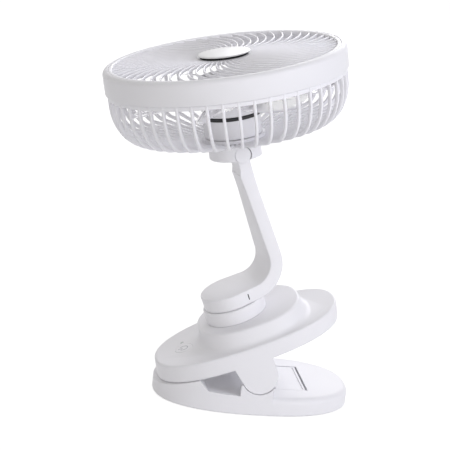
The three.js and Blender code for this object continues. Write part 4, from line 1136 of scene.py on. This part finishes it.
class FAN_OT_upper_trim(Maker, bpy.types.Operator):
    """Cover and grip pad under the upper jaw"""

    bl_idname = "clip_fan.upper_trim"
    bl_label = "Upper cover and pad"

    def make(self, scene):
        jaw = scene.fan_upper_jaw
        low = jaw.underside
        depth = scene.fan_lower_jaw.pad_depth
        inset = WALL + SEAT_GAP
        levels = beside(inset, low, (0.3, 0), (0, 0.3)) + [(inset, low + WALL)]
        cover = oval("cover", upper_outline(), levels)
        notch = jaw.cheek_radius + 4 * MM
        for side in (-1, 1):
            y0, y1 = sorted((side * between_cheeks(jaw), side * jaw.width))
            cut(cover, block("notch", (-notch - 1.5 * MM, y0, 0), (notch, y1, plate_top())))
        cut(cover, pad_body("pocket", SEAT_GAP, low - MM, low + depth + SEAT_GAP))
        screw_seats(cover, "upper_screw", JAW, low)
        show(cover, "upper_cover", JAW, "upper_jaw", white_plastic, ["upper_base"])
        pad = pad_body("pad", 0, low, low + depth)
        groove_pad(pad, low - MM, low + GROOVE_DEPTH)
        show(pad, "upper_pad", JAW, "upper_jaw", grey_rubber, ["upper_grip_pad"])


class FAN_OT_button(Maker, bpy.types.Operator):
    """Power button with its printed symbol, and the indicator lamp"""

    bl_idname = "clip_fan.button"
    bl_label = "Power button and lamp"

    proud = 0.12 * MM
    wider = 0.08 * MM
    depth = 2.6 * MM
    edge = 0.25 * MM
    symbol_radius = 3.1 * MM
    symbol_line = 0.64 * MM
    symbol_gap = math.radians(36)
    symbol_half_height = 0.05 * MM

    def make(self, scene):
        jaw = scene.fan_upper_jaw
        top = plate_top() + self.proud
        radius = jaw.button_radius + self.wider
        profile = [(radius, plate_top() - self.depth)]
        profile += round_over(radius, self.edge, top, steps=4) + [(radius - MM, top)]
        cap = turned("cap", profile)
        cap.data.transform(Matrix.Translation((jaw.button_place, 0, 0)))
        show(cap, "touch_button", JAW, "power_button", white_plastic, ["power_button"])
        symbol = self.symbol(jaw, top)
        show(symbol, "button_symbol", JAW, "power_button", printed_mark)
        lens = [(jaw.lamp_radius, plate_top() - self.depth)]
        lens += beside(jaw.lamp_radius, plate_top(), (0, -0.1), (-0.4, 0.02))
        lamp = turned("lamp", lens, SMALL_SIDES)
        lamp.data.transform(Matrix.Translation((jaw.button_place, jaw.lamp_offset, 0)))
        show(lamp, "lamp_lens", JAW, "upper_jaw", lamp_lens, ["indicator_light"])

    def symbol(self, jaw, top):
        """A plain power symbol: an open ring with a bar in its gap."""
        half = self.symbol_line / 2
        low = top - self.symbol_half_height
        high = top + self.symbol_half_height
        inner = self.symbol_radius - half
        outer = self.symbol_radius + half
        section = ((inner, low), (outer, low), (outer, high), (inner, high))
        rings = []
        steps = 40
        for i in range(steps + 1):
            turn = math.pi + self.symbol_gap + (2 * math.pi - 2 * self.symbol_gap) * i / steps
            x, y = math.cos(turn), math.sin(turn)
            rings.append([(jaw.button_place + r * x, r * y, z) for r, z in section])
        start = jaw.button_place - self.symbol_radius - 1.1 * MM
        bar = block("bar", (start, -half, low), (jaw.button_place - 0.7 * MM, half, high))
        return join(skin("ring", rings), bar)


class FAN_OT_collar(Maker, bpy.types.Operator):
    """Swivel collar between the housing and the arm"""

    bl_idname = "clip_fan.collar"
    bl_label = "Swivel collar"

    def make(self, scene):
        jaw = scene.fan_upper_jaw
        bottom = housing_top() + 0.02 * MM
        top = bottom + jaw.collar_height + SEAT_GAP
        radius = jaw.collar_radius
        profile = beside(radius, bottom, (-1.2, 0), (-0.35, 0.1), (0, 0.5))
        profile += round_over(radius, 0.9 * MM, top) + [(radius - 2 * MM, top)]
        made = turned("collar", profile, RIM_SIDES)
        show(made, "collar", JAW, "upper_jaw", white_plastic, ["swivel_collar"])


# Arm


def rounded_section(x, z, along, half_width, half_depth, corner):
    """A rounded rectangle across the arm at a point of its path, whose heading is along."""
    centre = Vector((x, 0, z))
    normal = Vector((-math.sin(along), 0, math.cos(along)))
    side = Vector((0, 1, 0))
    corner = min(corner, half_width * 0.98, half_depth * 0.98)
    steps = 3
    points = []
    for quarter, (sign_w, sign_d) in enumerate(((1, 1), (-1, 1), (-1, -1), (1, -1))):
        for step in range(steps + 1):
            turn = math.pi / 2 * (quarter + step / steps)
            w = sign_w * (half_width - corner) + corner * math.cos(turn)
            d = sign_d * (half_depth - corner) + corner * math.sin(turn)
            points.append(centre + side * w + normal * d)
    return points


def foot_half_width(arm, x):
    """Half of the foot's width, which narrows evenly from the swivel axis to the elbow."""
    lean = (arm.foot_radius - arm.elbow_width / 2) / (arm.bend_start + arm.bend_radius)
    return arm.foot_radius - lean * x


def toe_sections(arm, middle):
    """Sections of the round toe, up to the swivel axis."""
    least = 0.15 * MM
    steps = 26
    sections = []
    for i in range(steps + 1):
        x = -arm.foot_radius * math.cos(math.pi / 2 * i / steps)
        width = math.sqrt(max(arm.foot_radius ** 2 - x ** 2, least ** 2))
        to_rim = min(arm.foot_radius + x, arm.edge)
        drop = arm.edge - math.sqrt(max(arm.edge ** 2 - (arm.edge - to_rim) ** 2, 0))
        half = arm.foot_thickness / 2 - drop
        sections.append(rounded_section(x, middle, 0.0, width, half, arm.edge))
    return sections


def arm_sections(arm):
    """Sections from the toe of the foot, round the bend and up to the barrel."""
    foot_half = arm.foot_thickness / 2
    middle = foot_bottom() + foot_half
    top = foot_bottom() + arm.foot_thickness
    sections = toe_sections(arm, middle)
    for i in range(1, 5):
        x = arm.bend_start * i / 4
        sections.append(rounded_section(x, middle, 0.0, foot_half_width(arm, x), foot_half, arm.edge))
    steps = 22
    for i in range(1, steps + 1):
        turn = math.pi / 2 * i / steps
        half = foot_half + (arm.thickness / 2 - foot_half) * i / steps
        x = arm.bend_start + (arm.bend_radius + half) * math.sin(turn)
        z = top + arm.bend_radius - (arm.bend_radius + half) * math.cos(turn)
        width = foot_half_width(arm, arm.bend_start + arm.bend_radius * math.sin(turn))
        sections.append(rounded_section(x, z, turn, width, half, arm.edge))
    return sections + upright_sections(arm, top)


def upright_sections(arm, top):
    """Sections of the upright, which narrows to the hub's slot and thickens to its barrel."""
    x = arm.bend_start + arm.bend_radius + arm.thickness / 2
    start = top + arm.bend_radius
    straight = start + 2 * MM
    pivot = (ARM.inverted() @ PIVOT).z
    slot = pivot - bpy.context.scene.fan_head.hub_radius - MM
    heights = [start + (slot - start) * i / 14 for i in range(1, 15)]
    heights += [slot + (pivot - slot) * i / 8 for i in range(1, 9)]
    sections = []
    for z in heights:
        narrow = min(max((z - straight) / (slot - straight), 0), 1)
        width = (arm.elbow_width + (arm.top_width - arm.elbow_width) * narrow) / 2
        thick = max(0.0, 1 - (pivot - z) / arm.flare)
        half = arm.thickness / 2 + (arm.barrel - arm.thickness / 2) * thick
        sections.append(rounded_section(x, z, math.pi / 2, width, half, arm.edge))
    steps = 10
    for i in range(1, steps + 1):
        rise = arm.barrel * math.sin(math.pi / 2 * i / steps)
        half = max(math.sqrt(max(arm.barrel ** 2 - rise ** 2, 0)), 0.1 * MM)
        sections.append(rounded_section(x, pivot + rise, math.pi / 2, arm.top_width / 2, half, arm.edge))
    return sections


class FAN_OT_arm(Maker, bpy.types.Operator):
    """Bent arm with its round foot"""

    bl_idname = "clip_fan.arm"
    bl_label = "Arm"

    tick_place = 8 * MM
    tick_half_width = 0.35 * MM
    tick_height = 4.4 * MM

    def make(self, scene):
        arm = scene.fan_arm
        made = skin("arm", arm_sections(arm))
        face = arm.bend_start + arm.bend_radius
        high = (ARM.inverted() @ PIVOT).z - scene.fan_head.hub_drop - MM
        low = high - arm.scoop_length
        clear = face - 6 * MM
        profile = [(clear, low - 2 * MM), (face, low), (face + arm.scoop_depth * 0.7, low + 3 * MM)]
        profile += [(face + arm.scoop_depth, high), (clear, high)]
        cut(made, slab("scoop", profile, -arm.top_width, arm.top_width))
        show(made, "bent_arm", ARM, "arm", white_plastic, ["arm_shell"])
        show(self.tick(arm), "index_tick", ARM, "arm", dark_recess)

    def tick(self, arm):
        """Short index line in the straight near side of the foot."""
        low = foot_bottom() + 3 * MM
        side = foot_half_width(arm, self.tick_place)
        return block(
            "tick",
            (self.tick_place - self.tick_half_width, -side - 0.05 * MM, low),
            (self.tick_place + self.tick_half_width, -side + 0.5 * MM, low + self.tick_height),
        )


class FAN_OT_tilt_joint(Maker, bpy.types.Operator):
    """Round caps of the tilt axle"""

    bl_idname = "clip_fan.tilt_joint"
    bl_label = "Tilt caps"

    def make(self, scene):
        outer = scene.fan_head.hub_radius - CAP_INSET
        radius = scene.fan_arm.barrel
        pivot = ARM.inverted() @ PIVOT
        profile = [(radius, outer - CAP_DEPTH)]
        profile += round_over(radius, 0.5 * MM, outer, steps=5) + [(radius - 1.2 * MM, outer)]
        for which, side in (("near", 1), ("far", -1)):
            made = turned("cap", profile)
            turn = Matrix.Rotation(side * math.pi / 2, 4, "X")
            made.data.transform(Matrix.Translation((pivot.x, 0, pivot.z)) @ turn)
            show(made, f"axle_cap_{which}", ARM, "arm", white_plastic, [f"tilt_cap_{which}"])


# Head


class FAN_OT_hub(Maker, bpy.types.Operator):
    """Rear hub with the slot for the arm"""

    bl_idname = "clip_fan.hub"
    bl_label = "Rear hub"

    def make(self, scene):
        head = scene.fan_head
        arm = scene.fan_arm
        radius = head.hub_radius
        bottom = -head.hub_drop
        top = head.hub_top
        flange = scene.fan_motor.radius + 2 * MM
        profile = [(radius - 2 * MM, bottom)] + round_over(radius, MM, bottom, steps=6, lower=True)
        profile += [(radius, top - WALL), (flange, top - WALL), (flange, top), (radius - 2 * MM, top)]
        made = turned("hub", profile, RIM_SIDES)
        room = arm.barrel + RUN_GAP + SEAT_GAP
        opening = [(-room, -radius), (2 * radius, -radius), (2 * radius, room)]
        opening += arc(0, 0, room, math.pi / 2, math.pi, 20)
        half = arm.top_width / 2 + RUN_GAP
        inner = radius - CAP_INSET - CAP_DEPTH - SEAT_GAP
        notch = arm.barrel + RUN_GAP
        cut(
            made,
            slab("slot", opening, -half, half),
            rod("near", notch, -2 * radius, -inner),
            rod("far", notch, inner, 2 * radius),
        )
        show(made, "hub", HEAD, "head", white_plastic, ["rear_hub"])


def cage_line(head):
    """Middle line of a cage rib in the XZ plane, from the band to the hub."""
    half = head.cage_rib_depth / 2
    outer = head.cage_radius - half
    bend = 0.86 * math.pi / 2
    points = beside(outer, head.front - head.band_height, (0, -0.2), (0, -4))
    steps = 14
    for i in range(steps + 1):
        turn = bend * i / steps
        r = head.bowl_radius + (outer - head.bowl_radius) * math.cos(turn)
        depth = head.cage_straight + (head.bowl_depth - head.cage_straight) * math.sin(turn)
        points.append((r, head.front - depth))
    start = points[-1]
    end = (head.hub_radius + 0.2 * MM, head.front - head.rear_depth + half)
    for i in range(1, 7):
        points.append((start[0] + (end[0] - start[0]) * i / 6, start[1] + (end[1] - start[1]) * i / 6))
    return [(r, 0, z) for r, z in points]


class FAN_OT_cage(Maker, bpy.types.Operator):
    """Ribs and rings of the rear cage"""

    bl_idname = "clip_fan.cage"
    bl_label = "Rear cage"

    def make(self, scene):
        head = scene.fan_head
        made = ribs(
            "cage_ribs", cage_line(head), head.cage_rib_depth, head.cage_rib_width, 0.55 * MM,
            cage_plastic, head.cage_ribs, head.cage_phase,
        )
        show(made, "cage_ribs", HEAD, "head", cage_plastic, ["rear_cage"], crease=45)
        top = head.front - head.band_height - SEAT_GAP
        inner = head.cage_radius - head.cage_rib_depth - 0.4 * MM
        outer = head.cage_radius - 0.25 * MM
        self.ring("cage_rim", inner, outer, top - 3 * MM, top, 0.4 * MM)
        low = head.front - head.rear_depth + 0.3 * MM
        inner = head.hub_radius + 0.1 * MM
        outer = head.hub_radius + 5 * MM
        self.ring("cage_seat", inner, outer, low, low + 2.4 * MM, 0.6 * MM)

    def ring(self, name, inner, outer, low, high, corner):
        """A ring of the cage with round corners."""
        corners = (
            (outer - corner, high - corner), (inner + corner, high - corner),
            (inner + corner, low + corner), (outer - corner, low + corner),
        )
        profile = []
        for quarter, (r, z) in enumerate(corners):
            profile += arc(r, z, corner, quarter * math.pi / 2, (quarter + 1) * math.pi / 2, 4)
        made = turned(name, profile, RIM_SIDES, closed=True)
        show(made, name, HEAD, "head", cage_plastic)


class FAN_OT_band(Maker, bpy.types.Operator):
    """Front band of the head"""

    bl_idname = "clip_fan.band"
    bl_label = "Front band"

    def make(self, scene):
        head = scene.fan_head
        radius = head.band_radius - FACET
        inner = radius - 2 * MM
        top = head.front
        low = top - head.band_height
        profile = [(inner + 0.3 * MM, low)] + beside(radius, low, (-0.35, 0), (-0.1, 0.1), (0, 0.35))
        profile += round_over(radius, head.band_shoulder, top, steps=14)
        profile += beside(head.grille_radius + 0.15 * MM, top, (0.3, 0), (0, -0.2), (0, -3))
        profile += [(inner, top - 6 * MM), (inner, low + 0.3 * MM)]
        made = turned("band", profile, RIM_SIDES, closed=True)
        show(made, "band", HEAD, "head", white_plastic, ["front_band"])


def front_line(head):
    """Middle line of a front rib, swept from the centre disc to the rim."""
    start = head.disc_radius + 0.6 * MM
    end = head.grille_radius - head.front_rim + 0.4 * MM
    z = head.front - 0.5 * MM - head.front_rib_depth / 2
    steps = 20
    points = []
    for i in range(steps + 1):
        part = i / steps
        r = start + (end - start) * part
        turn = head.front_sweep * part ** 1.5
        points.append((r * math.cos(turn), r * math.sin(turn), z))
    return points


class FAN_OT_grille(Maker, bpy.types.Operator):
    """Swept ribs and rim of the front grille, and its centre disc"""

    bl_idname = "clip_fan.grille"
    bl_label = "Front grille"

    def make(self, scene):
        head = scene.fan_head
        made = ribs(
            "front_ribs", front_line(head), head.front_rib_width, head.front_rib_depth, 0.35 * MM,
            cage_plastic, head.front_ribs,
        )
        show(made, "front_ribs", HEAD, "head", cage_plastic, ["front_grille"], crease=45)
        outer = head.grille_radius
        inner = outer - head.front_rim
        profile = beside(outer, head.front, (0, -2.8), (0, -0.3), (-0.3, 0))
        profile += beside(inner, head.front, (0.9, 0), (0.4, -0.2), (0, -0.8), (0, -2.8))
        rim = turned("rim", profile, RIM_SIDES, closed=True)
        show(rim, "front_rim", HEAD, "head", cage_plastic)
        self.centre(head)

    def centre(self, head):
        """Thin silver plate in a low ring, over a near-black seat that is painted shadow under the plate."""
        radius = head.disc_radius
        ring = beside(radius, head.front, (-3, -3.4), (2, -3.4), (2, -1.3), (1.5, -0.8), (-3, -0.8))
        made = turned("ring", ring, closed=True)
        show(made, "centre_ring", HEAD, "head", cage_plastic)
        high = head.front + head.disc_proud
        # The seat is near black as painted shadow under the plate's overhanging edge
        seat = beside(radius, head.front, (-1.6, -4)) + beside(radius, high, (-1.6, -0.9))
        show(turned("seat", seat), "centre_seat", HEAD, "head", dark_recess)
        plate = beside(radius, high - MM, (-0.6, 0), (-0.15, 0.1), (0, 0.4))
        plate += beside(radius, high, (-0.2, -0.25), (-0.7, -0.05))
        dome = 0.45 * MM
        for part in (0.92, 0.8, 0.6, 0.4, 0.2, 0.05):
            plate.append((radius * part, high + dome * (1 - part ** 2)))
        made = turned("plate", plate, RIM_SIDES)
        show(made, "centre_plate", HEAD, "head", silver_paint, ["centre_disc"], crease=50)


# Motor and blades


def ring_bottom(scene):
    """Underside of the motor's dark ring above the tilt axis."""
    return scene.fan_head.hub_top + scene.fan_motor.rear_height + SEAT_GAP


def rotor_bottom(scene):
    return ring_bottom(scene) + scene.fan_motor.ring_height + RUN_GAP


class FAN_OT_motor(Maker, bpy.types.Operator):
    """Rear half of the motor and its dark ring"""

    bl_idname = "clip_fan.motor"
    bl_label = "Motor"

    shaft_hole = 2 * MM

    def make(self, scene):
        motor = scene.fan_motor
        radius = motor.radius
        inner = radius - WALL
        low = scene.fan_head.hub_top + SEAT_GAP
        high = ring_bottom(scene) - 0.05 * MM
        profile = [(self.shaft_hole, low)] + beside(radius, low, (-0.8, 0), (-0.2, 0.2), (0, 0.8))
        profile += [(radius, high), (inner, high), (inner, low + WALL), (self.shaft_hole, low + WALL)]
        made = turned("motor", profile, closed=True)
        show(made, "motor_rear", HEAD, "head", white_plastic, ["motor_housing"])
        low = ring_bottom(scene)
        high = low + motor.ring_height
        outer = radius + 0.4 * MM
        profile = [(inner, low)] + beside(outer, low, (-0.2, 0), (0, 0.2))
        profile += beside(outer, high, (0, -0.2), (-0.2, 0)) + [(inner, high)]
        ring = turned("ring", profile, closed=True)
        show(ring, "motor_band", HEAD, "head", black_plastic, ["motor_ring"])


class FAN_OT_blades(Maker, bpy.types.Operator):
    """Clear blades and the turning half of the motor"""

    bl_idname = "clip_fan.blades"
    bl_label = "Blades"

    shaft_hole = 0.5 * MM
    lead = math.radians(14.3)
    camber = 3 * MM
    flatten = 0.8
    steps_out = 28
    steps_across = 20

    def make(self, scene):
        motor = scene.fan_motor
        low = rotor_bottom(scene)
        high = low + motor.rotor_height
        radius = motor.radius
        inner = radius - WALL
        profile = [(radius, low + 0.2 * MM)] + round_over(radius, 2 * MM, high)
        profile += [(radius - 4 * MM, high), (self.shaft_hole, high), (self.shaft_hole, high - WALL)]
        profile += [(inner, high - WALL), (inner, low), (radius - 0.2 * MM, low)]
        cup = turned("cup", profile, closed=True)
        show(cup, "rotor_cup", HEAD, "rotor", white_plastic)
        faces = zip(self.face(scene, 1), self.face(scene, -1))
        blade = skin("blade", [upper + list(reversed(lower)) for upper, lower in faces])
        values = {"Count": motor.blades, "First angle": motor.blade_phase, "Material": clear_plastic()}
        run_tree(blade, copies_tree(), values)
        show(blade, "blades", HEAD, "rotor", clear_plastic, ["blade_rotor"], crease=60)

    def face(self, scene, side):
        """Rows of points on one face of a blade, from the motor to the tip."""
        motor = scene.fan_motor
        root = motor.radius - WALL / 2
        middle = rotor_bottom(scene) + motor.rotor_height / 2
        least = 0.05  # of the square of the thickness, at the rounded edges
        rows = []
        for i in range(self.steps_out + 1):
            part = i / self.steps_out
            radius = root + (motor.blade_radius - root) * part
            pitch = motor.root_pitch + (motor.tip_pitch - motor.root_pitch) * part
            widening = 0.55 + 0.6 * part - 0.35 * part * part
            chord = motor.blade_chord * widening * math.sqrt(1 - 0.55 * part ** 6)
            row = []
            for j in range(self.steps_across + 1):
                across = j / self.steps_across - 0.5
                turn = across * chord * math.cos(pitch) / radius + self.lead * part
                thin = math.sqrt(max(1 - (2 * abs(across)) ** 8, least))
                thin *= math.sqrt(max(1 - part ** 16, least))
                half = side * motor.blade_thickness / 2 * thin
                bow = self.camber * (1 - 4 * across * across)
                rise = across * chord * math.sin(pitch) + bow + half
                row.append((radius * math.cos(turn), radius * math.sin(turn), middle + rise * self.flatten))
            rows.append(row)
        return rows


# CAD nodes that keep their shape

KEPT_NODES = {
    "hook_pin": steel,
    "hinge_pin": steel,
    "swivel_shaft": steel,
    "swivel_washer": steel,
    "swivel_nut": steel,
    "tilt_axle": steel,
    "motor_shaft": steel,
    "motor_coil": copper_winding,
    "circuit_board": board_mask,
    "battery_cell": cell_sleeve,
    "battery_cradle": black_plastic,
    "charging_port": black_plastic,
    "arm_lead": black_plastic,
    "foot_plate": white_plastic,
}


class FAN_OT_inner_pieces(Maker, bpy.types.Operator):
    """Finishes of the pins and of the pieces inside"""

    bl_idname = "clip_fan.inner_pieces"
    bl_label = "Inner pieces"

    def make(self, scene):
        for name, material in KEPT_NODES.items():
            kept = frame["nodes"][name]
            kept.data.materials.clear()
            kept.data.materials.append(material())


# Stage


def seen_rays(tree):
    """1 for the rays that show the background: camera, glossy and transmission rays."""
    path = node(tree, "ShaderNodeLightPath")
    first = maths(tree, "MAXIMUM", path["Is Camera Ray"], path["Is Glossy Ray"])
    return maths(tree, "MAXIMUM", first, path["Is Transmission Ray"])


class FAN_OT_stage(Maker, bpy.types.Operator):
    """Floor, backdrop, lamps and camera"""

    bl_idname = "clip_fan.stage"
    bl_label = "Stage"

    cool = (0.86, 0.88, 1.0)
    pale = (0.95, 0.95, 1.0)
    warm = (1.0, 0.985, 0.975)
    lamp_target_z = 0.12
    floor_reach = 4.0
    floor_glow = 0.88

    def make(self, scene):
        scene.view_settings.view_transform = "Standard"
        self.world(scene)
        self.floor(scene)
        self.lamp(scene, "key", 0.9, (1.25, -0.95, 1.15), self.cool)
        self.lamp(scene, "front", 1.0, (1.0, -1.4, 0.35), self.cool)
        self.lamp(scene, "back", 1.0, (0.5, 1.5, 0.9), self.pale)
        self.camera(scene)

    def world(self, scene):
        world = bpy.data.worlds.new("Studio")
        scene.world = world
        world.use_nodes = True
        tree = world.node_tree
        tree.nodes.clear()
        lit = {"Color": (*self.warm, 1), "Strength": self.tent(tree, scene.fan_stage)}
        light = node(tree, "ShaderNodeBackground", lit)["Background"]
        shown = {"Color": (*scene.fan_colours.background, 1), "Strength": 1.0}
        seen = node(tree, "ShaderNodeBackground", shown)["Background"]
        mix = node(tree, "ShaderNodeMixShader", {"Fac": seen_rays(tree), 1: light, 2: seen})
        node(tree, "ShaderNodeOutputWorld", {"Surface": mix["Shader"]})

    def tent(self, tree, stage):
        """Strength of the light tent: its walls in front and behind are bright, its sides are dim."""
        where = node(tree, "ShaderNodeTexCoord")["Generated"]
        axes = node(tree, "ShaderNodeSeparateXYZ", {"Vector": where})
        return maths(tree, "MULTIPLY", maths(tree, "ABSOLUTE", axes["Y"]), stage.tent)

    def floor(self, scene):
        """A white floor that keeps a faint shadow and lights the object from below."""
        reach = self.floor_reach
        low = -0.05 * MM
        corners = [(-reach, -reach, low), (reach, -reach, low), (reach, reach, low), (-reach, reach, low)]
        made = mesh_object("floor", corners, [(0, 1, 2, 3)])
        material = bpy.data.materials.new("floor_white")
        material.use_nodes = True
        tree = material.node_tree
        tree.nodes.clear()
        white = scene.fan_colours.background
        lit = node(tree, "ShaderNodeBsdfDiffuse", {"Color": (*shaded(white, 0.8), 1)})["BSDF"]
        faint = node(tree, "ShaderNodeBsdfDiffuse", {"Color": (*shaded(white, 0.24), 1)})["BSDF"]
        shine = {"Color": (*white, 1), "Strength": self.floor_glow}
        glow = node(tree, "ShaderNodeEmission", shine)["Emission"]
        both = node(tree, "ShaderNodeAddShader", {0: faint, 1: glow})["Shader"]
        mix = node(tree, "ShaderNodeMixShader", {"Fac": seen_rays(tree), 1: lit, 2: both})["Shader"]
        node(tree, "ShaderNodeOutputMaterial", {"Surface": mix})
        made.data.materials.append(material)

    def lamp(self, scene, name, size, place, tint):
        """A round area lamp that faces the object; its power is the setting of its name."""
        data = bpy.data.lights.new(name, "AREA")
        data.energy = getattr(scene.fan_stage, name)
        data.color = tint
        data.shape = "DISK"
        data.size = size
        made = bpy.data.objects.new(name, data)
        scene.collection.objects.link(made)
        made.location = place
        target = Vector((scene.fan_stage.target_x, 0, self.lamp_target_z))
        made.rotation_euler = (target - Vector(place)).to_track_quat("-Z", "Y").to_euler()

    def camera(self, scene):
        stage = scene.fan_stage
        az = stage.azimuth
        el = stage.elevation
        back = Vector((math.sin(az) * math.cos(el), -math.cos(az) * math.cos(el), math.sin(el)))
        level = Vector((math.cos(az), math.sin(az), 0))
        upright = back.cross(level)
        right = math.cos(stage.roll) * level + math.sin(stage.roll) * upright
        up = math.cos(stage.roll) * upright - math.sin(stage.roll) * level
        data = bpy.data.cameras.new("camera")
        data.sensor_width = 36
        data.lens = stage.lens
        data.clip_start = 0.05
        made = bpy.data.objects.new("camera", data)
        scene.collection.objects.link(made)
        target = Vector((stage.target_x, 0, stage.target_z))
        made.matrix_world = placed(target + back * stage.reach, right, up, back)
        scene.camera = made


# Add-on

OPERATORS = (
    FAN_OT_stage,
    FAN_OT_lower_shell,
    FAN_OT_lower_trim,
    FAN_OT_hook,
    FAN_OT_screws,
    FAN_OT_spring,
    FAN_OT_upper_shell,
    FAN_OT_upper_trim,
    FAN_OT_button,
    FAN_OT_collar,
    FAN_OT_arm,
    FAN_OT_tilt_joint,
    FAN_OT_hub,
    FAN_OT_cage,
    FAN_OT_band,
    FAN_OT_grille,
    FAN_OT_motor,
    FAN_OT_blades,
    FAN_OT_inner_pieces,
)


class FAN_PT_panel(bpy.types.Panel):
    """Operators and sizes of the clip fan"""

    bl_idname = "FAN_PT_panel"
    bl_label = "Clip fan"
    bl_space_type = "VIEW_3D"
    bl_region_type = "UI"
    bl_category = "Clip fan"

    def draw(self, context):
        for operator in OPERATORS:
            self.layout.operator(operator.bl_idname)
        for name, group in SETTINGS.items():
            box = self.layout.box()
            for title in group.__annotations__:
                box.prop(getattr(context.scene, name), title)


CLASSES = (*SETTINGS.values(), *OPERATORS, FAN_PT_panel)


def register():
    for made in CLASSES:
        bpy.utils.register_class(made)
    for name, group in SETTINGS.items():
        setattr(bpy.types.Scene, name, bpy.props.PointerProperty(type=group))


def unregister():
    for name in SETTINGS:
        delattr(bpy.types.Scene, name)
    for made in reversed(CLASSES):
        bpy.utils.unregister_class(made)


def run(operator):
    category, name = operator.bl_idname.split(".")
    getattr(getattr(bpy.ops, category), name)()


def main():
    register()
    for operator in OPERATORS:
        run(operator)


if __name__ == "__main__":
    main()
